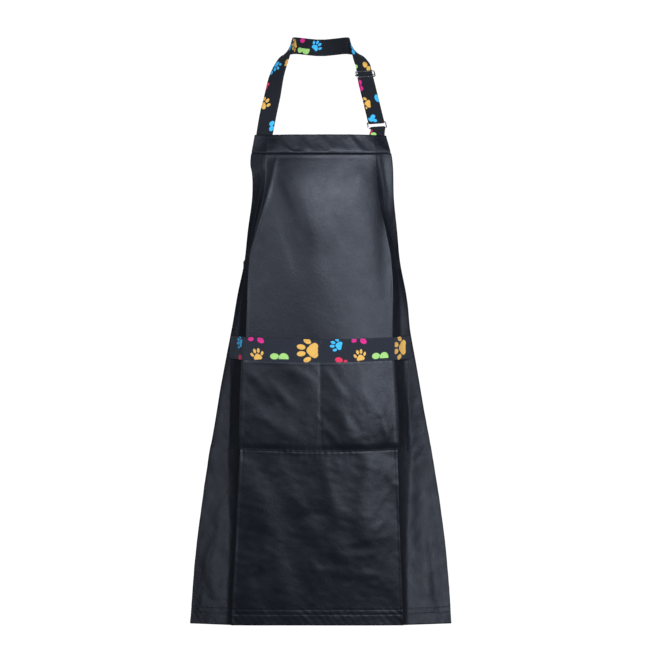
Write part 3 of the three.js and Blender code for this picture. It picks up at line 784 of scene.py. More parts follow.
# the print as (kind, across the apron, down or up the cloth, size, turn, colour)
BAND_MOTIFS = [
    ("paw", -22.0, -580.0, 45, 90, ORANGE), ("paw", 29.5, -570.3, 25, 78, CYAN),
    ("dot", 33.5, -598.0, 14, -12, RED), ("dot", 46.0, -600.5, 7, 0, RED),
    ("dot", 61.5, -562.5, 10, 8, MAGENTA), ("dot", 79.0, -564.0, 13, -30, MAGENTA),
    ("paw", 73.0, -591.0, 24, 12, ORANGE), ("dot", 104.0, -592.5, 15.5, 4, GREEN),
    ("dome", 121.0, -593.0, 18, 0, GREEN),
]
BAND_PERIOD = (-52.0, 189.0)
BAND_PLAIN_END = -0.1885  # beyond this, in metres, the band's turned-in left end is plain
# on the straps: along from the bib or ring, across with + towards the inner edge
LEFT_STRAP_MOTIFS = [
    ("dot", 16, 11.5, 11, 20, CYAN), ("dot", 25.5, 10.5, 11, 40, CYAN), ("paw", 61, -13.5, 27, -72, ORANGE),
    ("dot", 101, -14, 8, 20, RED), ("dot", 94.5, -15.5, 7, 0, RED), ("paw", 142, -10, 24, 60, CYAN),
    ("dot", 126, -14, 9, 10, CYAN), ("dot", 151, 13, 10, 20, ORANGE), ("dot", 144, 13.5, 7, 60, ORANGE),
    ("dot", 180, 12, 13, 10, CYAN), ("dot", 188, 12.5, 9, 0, CYAN), ("paw", 214, 2, 27, 110, ORANGE),
    ("dot", 236, -8, 14, 8, GREEN), ("dome", 251, -8, 18, 180, GREEN), ("dot", 243, 11, 12, 20, MAGENTA),
    ("paw", 274, 3, 22, -40, CYAN),
]
RUN_MOTIFS = [  # along measured up from the ring, across with + towards the inner edge
    ("dot", 5, 12, 10, 60, CYAN), ("dot", 10.5, 6, 11, 120, CYAN), ("dot", 3, 3.5, 9, 80, CYAN),
    ("dot", 47, -13, 15, 8, CYAN), ("paw", 38, 13.5, 25, -10, ORANGE), ("dot", 70, 15.5, 10.5, 10, MAGENTA),
    ("dot", 81, 15.5, 10.5, -20, MAGENTA),
]
UPPER_RUN_MOTIFS = [  # the same, above the slider
    ("dot", 108, -10, 11, 30, ORANGE), ("dot", 117, -5, 13, 20, ORANGE), ("dot", 114, 15, 8, 0, GREEN),
    ("dot", 146, 11, 12, 20, CYAN), ("dot", 155, 12.5, 11, 0, CYAN), ("dot", 163, 12, 9, 30, CYAN),
]
TAB_MOTIFS = [("dot", 8, 14, 8, 0, RED), ("dot", 2.5, 7.5, 11, 90, GREEN)]
TIE_MOTIFS = [
    ("paw", 14, 4, 27, 70, ORANGE), ("dot", 40, -9, 12, 20, CYAN), ("dot", 55, 8, 13, -20, MAGENTA),
    ("paw", 80, -4, 22, -60, CYAN), ("dot", 103, 10, 12, 40, RED), ("dot", 118, -8, 15, 5, GREEN),
    ("dome", 134, -7, 17, 0, GREEN), ("paw", 160, 5, 24, 120, ORANGE),
]
TIE_PERIOD = (-8.0, 189.0)
STRAP_PAINTED_SHADE = 0.35  # painted shade: the straps' black is deeper than the band's, darkened against the strong light from above


def make_materials():
    groups = motif_groups()
    slider_at = along_path(neck_path()[0])[-1] - SEAM_IN
    upper = [(kind, slider_at + SPLIT_UP - up, *rest) for kind, up, *rest in UPPER_RUN_MOTIFS]
    return {
        "coated": coated_cloth(), "backing": cloth_back(), "nickel": nickel(), "thread": thread(),
        "band": printed_cotton("printed_cotton_band", groups, BAND_MOTIFS, BAND_PERIOD),
        "strap": printed_cotton("printed_cotton_strap", groups, LEFT_STRAP_MOTIFS + upper, None, STRAP_PAINTED_SHADE),
        "run": printed_cotton("printed_cotton_run", groups, RUN_MOTIFS, None, STRAP_PAINTED_SHADE),
        "tab": printed_cotton("printed_cotton_tab", groups, TAB_MOTIFS, None, STRAP_PAINTED_SHADE),
        "tie": printed_cotton("printed_cotton_tie", groups, TIE_MOTIFS, TIE_PERIOD),
    }


# ---- the apron's cloth
def heights(top, foot, step=3.0):
    """Rows down the cloth, closer together beside seams."""
    rows = list(between(top, foot, step))
    for seam in (FACING_SEAM, POCKET_FOOT, *HEM_ROWS):
        rows += [seam + k for k in (-4, -2.5, -1.2, 0, 1.2, 2.5, 4)]
    return np.array(sorted({round(r, 3) for r in rows if foot <= r <= top}, reverse=True))


def uv_grid(u, z):
    return np.stack([flat_of(u, z), z], -1) * MM


def make_panel(looks):
    u, z = np.meshgrid(across_u(2.0), heights(BIB_TOP, HEM_FOOT))
    front, back = on_cloth(u, z, 0.0), on_cloth(u, z, -CLOTH)
    panel = slab("apron_panel_cloth", front, back, uv_grid(u, z), [looks["coated"], looks["backing"]])
    area_m2(front)
    return finished(panel, "root", "coated_cloth", "apron_panel")


def pocket_grid(top, foot, off, step=3.0):
    zs = heights(top, foot, step)
    base = across_u(2.0)
    limit = u_at_flat(POCKET_HALF, zs)
    inner = base[np.abs(base) < 1.0001]
    outer = np.linspace(0, 1, 22)[1:]
    rows = []
    for edge in limit:
        side = 1 + (edge - 1) * outer
        rows.append(np.concatenate([-side[::-1], inner, side]))
    u = np.array(rows)
    z = np.broadcast_to(zs[:, None], u.shape)
    s = flat_of(u, z)
    front = on_cloth(u, z, pocket_stand_off(s, z) + off)
    return u, z, front


def make_pocket(looks):
    u, z, front = pocket_grid(POCKET_TOP, POCKET_FOOT, 0.0)
    back = pocket_grid(POCKET_TOP, POCKET_FOOT, -0.8)[2]
    pocket = slab("pocket_cloth", front, back, uv_grid(u, z), [looks["coated"], looks["backing"]])
    finished(pocket, "root", "coated_cloth", "pocket_panel")
    u, z, front = pocket_grid(POCKET_TOP + 0.6, BAND_FOOT, 1.1, 2.0)
    back = pocket_grid(POCKET_TOP + 0.6, BAND_FOOT, 0.15, 2.0)[2]
    uv = uv_grid(u, z)
    uv[..., 0] = np.maximum(uv[..., 0], BAND_PLAIN_END)
    band = slab("pocket_band_cotton", front, back, uv, [looks["band"]])
    finished(band, "root", "printed_cotton", "pocket_band")


def hem_rings(points_at, us, zs, width):
    """Cross-sections of a turned hem: a ply behind the cloth, and the fold that closes its edge.
    points_at(distance, off) gives points on the cloth that far in from the edge at (us, zs)."""
    edge_points, normals = on_cloth(us, zs), cloth_normal(us, zs)
    outwards = unit(edge_points - points_at(2.0, 0.0))
    face, back, fold_out = 0.12, CLOTH + 0.95, 1.0
    rings = [points_at(d, -back) for d in np.linspace(width, 1.0, 6)]
    middle = (face - back) / 2
    radius = (face + back) / 2
    for angle in np.radians([-75, -45, -15, 15, 45, 75]):
        off = middle + radius * math.sin(angle)
        rings.append(edge_points + outwards * (fold_out * math.cos(angle)) + normals * off)
    rings.append(points_at(1.2, face))
    rings.append(points_at(1.2, 0.02))
    rings.append(edge_points + outwards * 0.05 + normals * 0.02)
    rings.append(edge_points + outwards * 0.05 - normals * (CLOTH + 0.05))
    rings += [points_at(d, -CLOTH - 0.15) for d in np.linspace(1.0, width, 6)]
    return np.stack(rings, axis=1)


def side_hem(name, side, top, foot, looks, *nodes):
    zs = heights(top, foot, 4.0)

    def points_at(distance, off):
        return on_cloth(side * u_from_edge(distance, zs), zs, off)

    rings = hem_rings(points_at, np.full(zs.shape, 2.0 * side), zs, HEM_WIDTH)
    uv = uv_of(zs * MM, np.linspace(0, HEM_UV, rings.shape[1]))[..., ::-1]
    hem = loft(name, rings, uv, [looks["coated"]])
    return finished(hem, "root", "cloth_back", *nodes)


def level_hem(name, z_edge, direction, width, looks, node):
    """A hem along the top (direction 1) or the foot (direction -1) of the apron."""
    us = across_u(1.99, 0.03)

    def points_at(distance, off):
        return on_cloth(us, np.full(us.shape, z_edge - direction * distance), off)

    zs = np.full(us.shape, z_edge)
    rings = hem_rings(points_at, us, zs, width)
    flat = flat_of(us, zs)
    hem = loft(name, rings, uv_of(flat * MM, np.linspace(0, HEM_UV, rings.shape[1])), [looks["coated"]])
    return finished(hem, "root", "coated_cloth", node)


def make_hems(looks):
    for word, side in SIDES:
        side_hem(f"armhole_hem_cloth_{word}", side, FACING_SEAM - 1, TIE_LEVEL, looks, f"armhole_hem_{word}")
        side_hem(f"side_hem_cloth_{word}", side, TIE_LEVEL - 1, HEM_SEAM + 1, looks, f"side_hem_{word}")
    level_hem("bib_facing_cloth", BIB_TOP, 1, BIB_TOP - FACING_SEAM, looks, "bib_top_facing")
    level_hem("bottom_hem_cloth", HEM_FOOT, -1, HEM_SEAM - HEM_FOOT, looks, "bottom_hem")


# ---- stitches
def stitch_shape():
    """One stitch along X, one unit long: a thread that dives in at both ends."""
    sides = 6
    rise = [(-0.5, -0.9, 0.25), (-0.42, -0.25, 0.8), (-0.2, 0.1, 1.0)]
    stations = rise + [(-x, lift, scale) for x, lift, scale in rise[::-1]]
    angles = np.linspace(0, 2 * math.pi, sides + 1)[:-1]
    points = [(x, scale * math.cos(a), lift + scale * math.sin(a))
              for x, lift, scale in stations for a in angles]
    grid = np.arange(len(points)).reshape(-1, sides)
    following = np.roll(grid, -1, axis=1)
    faces = np.stack([grid[:-1], following[:-1], following[1:], grid[1:]], -1).reshape(-1, 4).tolist()
    return np.array(points), faces + [grid[0, ::-1].tolist(), grid[-1].tolist()]


def stitches(name, centres, aheads, normals, look, length=2.7, radius=0.27):
    """Many stitches as one mesh: each lies along its direction on the cloth."""
    shape, faces = stitch_shape()
    ahead = unit(aheads)
    normal = unit(normals - (normals * ahead).sum(-1, keepdims=True) * ahead)
    side = np.cross(normal, ahead)
    points = (centres[:, None, :] + ahead[:, None, :] * (shape[:, 0] * length)[None, :, None]
              + side[:, None, :] * (shape[:, 1] * radius)[None, :, None]
              + normal[:, None, :] * (shape[:, 2] * radius)[None, :, None])
    all_faces = [[v + k * len(shape) for v in f] for k in range(len(centres)) for f in faces]
    uv = np.tile(shape[:, :2] * np.array([length, radius]) * MM, (len(centres), 1))
    return new_mesh(name, points.reshape(-1, 3), all_faces, uv, [look], None, 80)


def evenly(path, pitch, start=1.0):
    """Points every pitch along a path, with the direction there."""
    length = along_path(path)
    at = np.arange(start, length[-1] - start, pitch)
    points = np.stack([np.interp(at, length, path[:, k]) for k in range(3)], 1)
    later = np.stack([np.interp(at + 0.5, length, path[:, k]) for k in range(3)], 1)
    return points, later - points


def row_on_cloth(us, zs, off):
    """Stitch centres, directions and normals for a row along (u, z) on the draped cloth."""
    path = on_cloth(us, zs, off)
    centres, aheads = evenly(path, 3.3)
    nearest = [int(np.argmin(np.linalg.norm(path - c, axis=1))) for c in centres]
    return centres, aheads, cloth_normal(us, zs)[nearest]


def stitch_rows(name, rows, look, *nodes):
    centres, aheads, normals = (np.concatenate(parts) for parts in zip(*rows))
    return finished(stitches(name, centres, aheads, normals, look), "root", "thread", *nodes)


def lift_at(us, zs, off, pocket):
    """How far thread lies off the apron's cloth, on it or on the pocket's front."""
    return off + pocket_stand_off(flat_of(us, zs), zs) if pocket else off


def level_row(z, limit, off=0.0, pocket=False):
    us = np.linspace(-limit, limit, 700)
    zs = np.full(us.shape, z)
    return row_on_cloth(us, zs, lift_at(us, zs, off, pocket))


def upright_row(u_at, top, foot, off=0.0, pocket=False):
    zs = np.linspace(top, foot, 500)
    us = u_at(zs)
    return row_on_cloth(us, zs, lift_at(us, zs, off, pocket))


def make_stitching(looks):
    look = looks["thread"]
    stitch_rows("facing_stitches", [level_row(FACING_SEAM, 1.96)], look, "facing_stitch_row")
    for word, z in zip(("upper", "lower"), HEM_ROWS):
        stitch_rows(f"hem_stitches_{word}", [level_row(z, 1.97)], look, f"hem_stitch_row_{word}")
    band_rows = [level_row(BAND_FOOT + 2.2, 1.88, 1.15, True), level_row(POCKET_TOP - 2.6, 1.93, 1.15, True)]
    stitch_rows("band_stitches", band_rows, look, "band_stitch_row")
    centre = upright_row(lambda z: z * 0, BAND_FOOT - 1, POCKET_FOOT + 1, 0.05, True)
    stitch_rows("pocket_centre_stitches", [centre], look, "pocket_centre_stitch_row")
    stretches = ((BIB_CORNER + 14, POCKET_TOP + 2), (POCKET_FOOT - 1, HEM_SEAM + 5))
    sides = [upright_row(lambda z, k=k: k * u_from_edge(HEM_WIDTH - 2, z), top, foot)
             for top, foot in stretches for k in (-1, 1)]
    stitch_rows("side_hem_stitches", sides, look)
    inset = POCKET_HALF - 3
    top, foot = BAND_FOOT - 1, POCKET_FOOT + 3
    pocket_sides = [upright_row(lambda z, k=k: k * u_at_flat(inset, z), top, foot, 0.05, True)
                    for k in (-1, 1)]
    foot = level_row(POCKET_FOOT + 2.5, float(u_at_flat(inset, POCKET_FOOT)), 0.05, True)
    stitch_rows("pocket_edge_stitches", pocket_sides + [foot], look)


def tack(name, u, z, du, dz, off, look, pocket, *nodes):
    """A bar of close zigzag stitches over a corner that takes strain."""
    count = 13
    zs = np.linspace(z - dz, z + dz, count)
    us = np.full(count, float(u))
    lift = lift_at(us, zs, off, pocket)
    left = on_cloth(us - du, zs, lift)
    right = on_cloth(us + du, zs + (zs[1] - zs[0]) * 0.6, lift)
    length = float(np.linalg.norm(right[0] - left[0]))
    bars = stitches(name, (left + right) / 2, right - left, cloth_normal(us, zs), look, length, 0.42)
    return finished(bars, "root", "thread", *nodes)


def make_tacks(looks):
    corner = float(u_at_flat(POCKET_HALF, POCKET_TOP)) - 0.10
    for word, u in (("left", -corner), ("centre", 0.0), ("right", corner)):
        tack(f"pocket_bartack_{word}", u, POCKET_TOP - 8, 0.012, 4.5, 1.2, looks["thread"], True,
             f"pocket_tack_{word}")
    for word, side in SIDES:
        u = side * float(u_from_edge(9, TIE_LEVEL))
        tack(f"tie_bartack_{word}", u, TIE_LEVEL - 5, 0.07, 8, 0.1, looks["thread"], False,
             f"tie_tack_{word}")


# ---- straps
def across_cloth(u, z):
    return unit(cloth_point(u + 0.3, z) - cloth_point(u - 0.3, z))


def behind_bib(u, z, behind):
    """A point behind the facing, where the straps are sewn on."""
    z = np.asarray(float(z))
    return cloth_point(u, z) - cloth_normal(u, z) * (CLOTH + 0.5 + PLY + 0.5 + behind)


# routes as x, y, z and the direction of the strap's width
NECK = [[-54, -47, -2, 0.1, -0.1, 1], [-45, -25, 1, 0, 0, 1], [-27, -7.5, 1, 0, 0, 1], [-8, 0.6, 0, 0, 0, 1]]
FRONT_LEFT = [[-98.5, -111, -137, 1, -0.1, 0.1], [-91, -104, -103, 0.97, -0.2, 0.1],
              [-82.5, -91, -61.5, 0.9, -0.4, 0.15], [-68, -75, -24, 0.75, -0.5, 0.45],
              [-60, -62, -9, 0.4, -0.4, 0.85]]
FRONT_RIGHT = [[60.5, -61.5, -8.5, -0.42, -0.4, 0.85], [68.5, -73, -19, -0.74, -0.47, 0.45]]
SPLIT_UP = RUN_TO_SLIDER - RING_HEIGHT / 2 + BAR_RADIUS
SEWN_U = -1.3
SEAM_IN = 25.0


def cotton_ripple(along, across):
    """The slight waviness of a worn strap."""
    return 0.22 * noise(along / 16 + across * 0, across / 13 + along * 0, 61)


def cotton_strip(name, node, body, path, wide, width, thickness, look, start=0.0, ripple=None,
                 tied=()):
    """A strip of printed cotton on its body, made at the width it was cut to."""
    obj, length = strip(name, path, wide, width, thickness, look, start, ripple)
    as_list(tied)
    return finished(obj, body, "printed_cotton", node)


def neck_path():
    """The neck strap's middle line and width directions, from the left of the bib to the slider."""
    seat = np.asarray(BIB_TOP)
    sewn = [[*behind_bib(SEWN_U, z, 2.4), *across_cloth(SEWN_U, seat)]
            for z in (BIB_TOP - SEAM_IN, BIB_TOP - 12, BIB_TOP)]
    mirrored = [[-x, y, z, -wx, wy, wz] for x, y, z, wx, wy, wz in NECK][::-1]
    left = hermite(sewn + FRONT_LEFT + NECK, 10)
    right = hermite(mirrored + FRONT_RIGHT + [[*on_run(RUN_TO_SLIDER + 20), *RUN_SIDE]], 10)
    run = [[*on_run(t), *RUN_SIDE] for t in np.linspace(RUN_TO_SLIDER + 18, SPLIT_UP, 12)]
    rows = np.vstack([left, right, run])
    return rows[:, :3], rows[:, 3:]


def make_neck_strap(looks):
    path, wide = neck_path()
    cotton_strip("neck_strap_cotton", "neck_strap", "root", path, wide, STRAP_WIDTH, CLOTH, looks["strap"],
                 -SEAM_IN, cotton_ripple)
    edge_rows("neck_strap_topstitch", path[24:], wide[24:], STRAP_WIDTH / 2 - 2.2, CLOTH / 2, looks["thread"])
    sewn_box("strap_sewn_box", SEWN_U, looks["thread"])


def edge_rows(name, path, wide, inset, lift, look, body="root", faces=(1, -1)):
    """Two rows of topstitching along a strip's edges, on one or both faces."""
    side, normal = strip_frames(path, wide)[1:]
    sets = []
    for face in faces:
        for k in (-1, 1):
            line = path + side * (k * inset) + normal * (face * lift)
            centres, aheads = evenly(line, 3.6)
            nearest = [int(np.argmin(np.linalg.norm(line - c, axis=1))) for c in centres]
            sets.append((centres, aheads, normal[nearest] * face))
    centres, aheads, normals = (np.concatenate(parts) for parts in zip(*sets))
    rows = stitches(name, centres, aheads, normals, look, 2.5, 0.22)
    return finished(rows, body, "thread")


def sewn_box(name, u, look):
    """The box of stitches that holds a strap end, seen on the front of the facing."""
    steps = 60
    half = 0.42 * 1.2
    top, foot = BIB_TOP - 4, BIB_TOP - 21
    rows = []
    for a, b in (((-half, top), (half, top)), ((-half, foot), (half, foot)), ((-half, top), (-half, foot)),
                 ((half, top), (half, foot)), ((-half, top), (half, foot)), ((-half, foot), (half, top))):
        us = np.linspace(u + a[0], u + b[0], steps)
        zs = np.linspace(a[1], b[1], steps)
        rows.append(row_on_cloth(us, zs, 0.0))
    return stitch_rows(name, rows, look)


def make_strap_run(looks):
    """The strap below the slider, its fold round the ring and the short way back up behind."""
    reach = -RING_BACK
    front = [on_run(t) for t in np.linspace(SPLIT_UP, 1.5, 36)]
    turn = half_turn(on_run(0, RING_BACK), RUN_FRONT, -RUN_UP, reach)
    back = [on_run(t, 2 * RING_BACK) for t in np.linspace(2.0, 36.0, 16)]
    path = np.array([*front, *turn, *back])
    wide = np.broadcast_to(RUN_SIDE, path.shape)
    to_ring = ("root", "ring_link", tuple(on_run(34) * MM), tuple(on_run(12) * MM))
    run = cotton_strip("strap_run_cotton", "strap_ring_fold", to_ring, path, wide, STRAP_WIDTH, CLOTH,
                       looks["run"])
    flip_run_uv(run, SPLIT_UP)
    edge_rows("strap_run_topstitch", path[:37], wide[:37], STRAP_WIDTH / 2 - 2.2, CLOTH / 2,
              looks["thread"], to_ring, (1,))
    foot, head = 35.0, RUN_TO_SLIDER - LOOP_REACH
    rise = np.linspace(0, 1, 24)
    outs = 2 * RING_BACK + (CENTRE_BAR_OUT - END_TURN - 2 * RING_BACK) * rise
    way = np.array([on_run(foot + (head - foot) * k, o - 0.25) for k, o in zip(rise, outs)])
    wide = np.broadcast_to(RUN_SIDE, way.shape)
    to_slider = ("root", "slider", tuple(on_run(36) * MM), tuple(on_run(84) * MM))
    cotton_strip("strap_return_cotton", "strap_return_ply", to_slider, way, wide, STRAP_WIDTH - 0.6,
                 CLOTH - 0.2, looks["run"], foot)


def flip_run_uv(obj, top):
    """Makes the strip's UV count up from the ring instead of down from the slider."""
    data = obj.data.uv_layers["Cloth"].data
    uv = np.zeros(len(data) * 2, np.float32)
    data.foreach_get("uv", uv)
    uv[0::2] = top * MM - uv[0::2]
    data.foreach_set("uv", uv)


def make_strap_end(looks):
    centre = on_run(RUN_TO_SLIDER, CENTRE_BAR_OUT)
    foot = RUN_TO_SLIDER - LOOP_REACH
    turn = half_turn(centre, RUN_FRONT, RUN_UP, END_TURN)
    front = [on_run(t, CENTRE_BAR_OUT + END_TURN) for t in np.linspace(foot, RUN_TO_SLIDER - 1, 6)]
    back = [on_run(t, CENTRE_BAR_OUT - END_TURN) for t in np.linspace(RUN_TO_SLIDER - 1, foot, 6)]
    path = np.array([*front, *turn, *back])
    wide = np.broadcast_to(RUN_SIDE, path.shape)
    cotton_strip("strap_end_cotton", "strap_sewn_end", "slider", path, wide, STRAP_WIDTH - 2, PLY,
                 looks["run"], 60.0)
    out = CENTRE_BAR_OUT - END_TURN - PLY / 2
    line = np.array([on_run(foot + 4, out, side) for side in np.linspace(-13, 13, 40)])
    centres, aheads = evenly(line, 2.6)
    normals = np.broadcast_to(-RUN_FRONT, centres.shape)
    row = stitches("strap_end_stitches", centres, aheads, normals, looks["thread"], 2.1, 0.25)
    finished(row, "slider", "thread")


def make_ring_tab(looks):
    reach = BAR_RADIUS + BAR_GAP + PLY / 2
    centre = on_run(-BAR_SPACING, RING_BACK)
    turn = half_turn(centre, RUN_FRONT, RUN_UP, reach)
    u = -SEWN_U
    side = -across_cloth(u, np.asarray(BIB_TOP))

    def seat(z, behind):
        return [*behind_bib(u, z, behind), *side]

    def straight(out):
        return [*on_run(-BAR_SPACING - 3, RING_BACK + out), *RUN_SIDE]

    front = hermite([seat(BIB_TOP - SEAM_IN, 2.2), seat(BIB_TOP, 2.2), straight(reach)], 8)
    back = hermite([straight(-reach), seat(BIB_TOP, 5.2), seat(BIB_TOP - SEAM_IN, 4.2)], 8)
    around = np.array([[*p, *RUN_SIDE] for p in turn])
    rows = np.vstack([front, around, back])
    cotton_strip("ring_tab_cotton", "ring_tab", "root", rows[:, :3], rows[:, 3:], STRAP_WIDTH - 3, PLY,
                 looks["tab"], -SEAM_IN)
    sewn_box("tab_sewn_box", u, looks["thread"])


# ---- metal
def wire_path(points, closed, radius):
    """A path through corners given as (side, up, out) on the run, each rounded to a radius."""
    per_corner = 7
    corners = np.array(points, float)
    count = len(corners)
    out = []
    for i in range(count):
        if not closed and i in (0, count - 1):
            out.append(corners[i])
            continue
        before, here, after = corners[i - 1], corners[i], corners[(i + 1) % count]
        a, b = unit(before - here), unit(after - here)
        start, end = here + a * radius, here + b * radius
        for k in range(per_corner + 1):
            t = k / per_corner
            out.append(start * (1 - t) ** 2 + here * 2 * t * (1 - t) + end * t * t)
    return np.array(out)


def wire(name, corners, closed, origin, look, radius=BAR_RADIUS, bend=1.7):
    """Round wire bent through corners, standing on the run at a height and a distance out."""
    path = wire_path(corners, closed, bend)
    dense = []
    ends = np.vstack([path, path[:1]]) if closed else path
    for a, b in zip(ends[:-1], ends[1:]):
        parts = max(1, int(np.linalg.norm(b - a) / 2.5))
        dense += [a + (b - a) * k / parts for k in range(parts)]
    if not closed:
        dense.append(path[-1])
    dense = np.array(dense)
    places = np.array([on_run(origin[0] + up, origin[1] + out, side) for side, up, out in dense])
    if closed:
        ahead = unit(np.roll(places, -1, axis=0) - np.roll(places, 1, axis=0))
    else:
        ahead = unit(np.gradient(places, axis=0))
    plane = np.cross(RUN_SIDE, RUN_UP) if closed else RUN_UP
    first = unit(plane - (ahead * plane).sum(-1, keepdims=True) * ahead)
    second = np.cross(ahead, first)
    angle = np.linspace(0, 2 * math.pi, 17)[:-1]
    rings = (places[:, None, :] + radius * (np.cos(angle)[None, :, None] * first[:, None, :]
                                            + np.sin(angle)[None, :, None] * second[:, None, :]))
    return loft(name, rings, uv_of(along_path(places), angle * radius) * MM, [look], closed)


def make_metal(looks):
    w, h = (RING_WIDTH - WIRE) / 2, (RING_HEIGHT - WIRE) / 2
    rectangle = [(-w, -h, 0), (w, -h, 0), (w, h, 0), (-w, h, 0)]
    ring = wire("ring_wire", rectangle, True, (-BAR_SPACING / 2, RING_BACK), looks["nickel"])
    finished(ring, "ring_link", "nickel", "ring")
    slider = wire("slider_wire", rectangle, True, (RUN_TO_SLIDER, SLIDER_OUT), looks["nickel"])
    finished(slider, "slider", "nickel", "slider_frame")
    top = SLIDER_OUT - BAR_RADIUS * 0.4
    staple = [(-w, 0, top), (-w, 0, CENTRE_BAR_OUT), (w, 0, CENTRE_BAR_OUT), (w, 0, top)]
    bar = wire("slider_bar_wire", staple, False, (RUN_TO_SLIDER, 0), looks["nickel"], CENTRE_BAR_HALF, 1.0)
    finished(bar, "slider", "nickel", "slider_centre_bar")


# ---- waist ties
KNOT = np.array([0.0, 25.0, -431.0])
TIE_ROUTE = [[146, -72, -427], [141, -42, -428], [124, -13, -429], [93, 8, -430], [52, 19, -431],
             [16, 23, -431]]


def gathered(seed, depth, width):
    """Lengthwise gathers in a tie where the knot squeezes it; depth falls off along the tie."""
    def ripple(along, across):
        drift = 1.2 * noise(along / 40 + across * 0, across * 0 + 3, seed)
        return depth(along) * np.sin(across / width * 2 * math.pi * 1.5 + drift)
    return ripple


def make_tie(word, side, looks, knot):
    seats = [cloth_point(side * u_from_edge(d, TIE_LEVEL), TIE_LEVEL)
             - cloth_normal(side * u_from_edge(d, TIE_LEVEL), np.asarray(TIE_LEVEL)) * 5.2 for d in (16, 1)]
    sewn = [[p[0], p[1], p[2] - 6, 0, 0, 1] for p in seats]
    free = [[side * x, y, z, 0, 0, 1] for x, y, z in TIE_ROUTE]
    rows = hermite(sewn + free, 12)
    path, wide = rows[:, :3], rows[:, 3:]
    total = along_path(path)[-1]
    squeeze = gathered(71 + side, lambda a: 1.3 * ramp(a, total - 80, total), TIE_WIDTH)
    cotton_strip(f"waist_tie_cotton_{word}", f"waist_tie_{word}", "root", path, wide, TIE_WIDTH, CLOTH,
                 looks["tie"], 0.0, squeeze, tied=knot)
    edge_rows(f"waist_tie_topstitch_{word}", path[8:-14], wide[8:-14], TIE_WIDTH / 2 - 2, CLOTH / 2,
              looks["thread"])


BOW = [[13, 29, -427], [38, 38, -426], [70, 41, -434], [92, 37, -445], [94, 30, -449], [72, 27.5, -446],
       [42, 26, -438], [13, 23.5, -434.5]]


def make_bow(word, side, looks):
    route = [[side * x, y + 3.5, z, 0.0, 0.18 * math.sin(k), 1] for k, (x, y, z) in enumerate(BOW)]
    rows = hermite(route, 10)
    path, wide = rows[:, :3], rows[:, 3:]
    total = along_path(path)[-1]
    squeeze = gathered(75 + side, lambda a: 1.4 * (1 - ramp(a, 0, 40)) + 1.4 * ramp(a, total - 40, total), 24)
    cotton_strip(f"bow_loop_cotton_{word}", f"bow_loop_{word}", "root", path, wide, TIE_WIDTH - 4, CLOTH,
                 looks["tie"], 30.0, squeeze)


def make_tail(word, side, looks):
    top, steps = KNOT[2] - 15.2, 60
    share = np.linspace(0, 1, steps)
    x = side * 15 - side * 6 * (1 - ramp(share, 0, 0.12)) + 1.5 * np.sin(share * 5 + side)
    y = KNOT[1] - 3.5 + side * 2.5 + 0.9 * np.sin(share * 7 + side)
    z = top - (TAIL_LENGTH + 7) * share
    path = np.stack([x, y, z], 1)
    wide = np.stack([np.ones(steps), 0.10 * np.sin(share * 4 + side), np.zeros(steps)], 1)
    squeeze = gathered(79 + side, lambda a: 1.0 * (1 - ramp(a, 0, 60)), TIE_WIDTH)
    hinge = (side * 0.015, y[0] * MM)
    hanging = ("root", f"tail_{word}", (*hinge, (top - 4) * MM), (*hinge, (top - 40) * MM))
    cotton_strip(f"tie_tail_cotton_{word}", f"tie_tail_{word}", hanging, path, wide, TIE_WIDTH, CLOTH,
                 looks["tie"], 60.0 + 40 * side, squeeze)


def make_knot(looks):
    """The knot: a squeezed wrap of the tie round the crossing, with creases running round it."""
    rows, around = 26, 40
    height = np.linspace(-1, 1, rows)[:, None]
    angle = np.linspace(0, 2 * math.pi, around, endpoint=False)[None, :]
    profile = (1 - np.abs(height) ** 3.2) ** 0.5
    crease = 1 + 0.06 * np.sin(height * 13 + 1.5 * np.sin(angle))
    crease = crease + 0.04 * noise(angle * 3, height * 4 + 5, 91)
    x = 12.5 * profile * np.cos(angle) * crease
    y = 9.5 * profile * np.sin(angle) * crease
    z = 15.5 * height + 1.5 * np.sin(angle * 2) * profile
    rings = np.stack([x + KNOT[0], y + KNOT[1], z + KNOT[2]], -1)[1:-1]
    uv = uv_of(height[1:-1, 0] * 15, angle[0] * 12)[..., ::-1] * MM
    knot = loft("waist_knot_cotton", rings, uv, [looks["tie"]], sharp_degrees=70)
    return finished(knot, "root", "printed_cotton", "waist_knot")


def make_ties(looks):
    knot = make_knot(looks)
    for word, side, tied in (("left", -1, (knot,)), ("right", 1, ())):
        make_tie(word, side, looks, tied)
        make_bow(word, side, looks)
        make_tail(word, side, looks)


# ---- stage, camera and light
CAMERA_DISTANCE = 4.5
VIEW_WIDTH = 1.1997
CLOTH_PLANE_Y = -0.15
EYE_HEIGHT = -0.528
EYE_OFFSET = 0.0033


def make_camera():
    data = bpy.data.cameras.new("camera")
    data.lens = data.sensor_width * CAMERA_DISTANCE / VIEW_WIDTH
    data.clip_end = 50
    camera = bpy.data.objects.new("camera", data)
    camera.location = (EYE_OFFSET, CLOTH_PLANE_Y - CAMERA_DISTANCE, EYE_HEIGHT)
    camera.rotation_euler = (math.radians(90), 0, 0)
    bpy.context.collection.objects.link(camera)
    bpy.context.scene.camera = camera


def aim(obj, target):
    x, y, z = np.array(target, float) - np.array(obj.location)
    obj.rotation_euler = (math.atan2(math.hypot(x, y), -z), 0, math.atan2(y, x) - math.pi / 2)


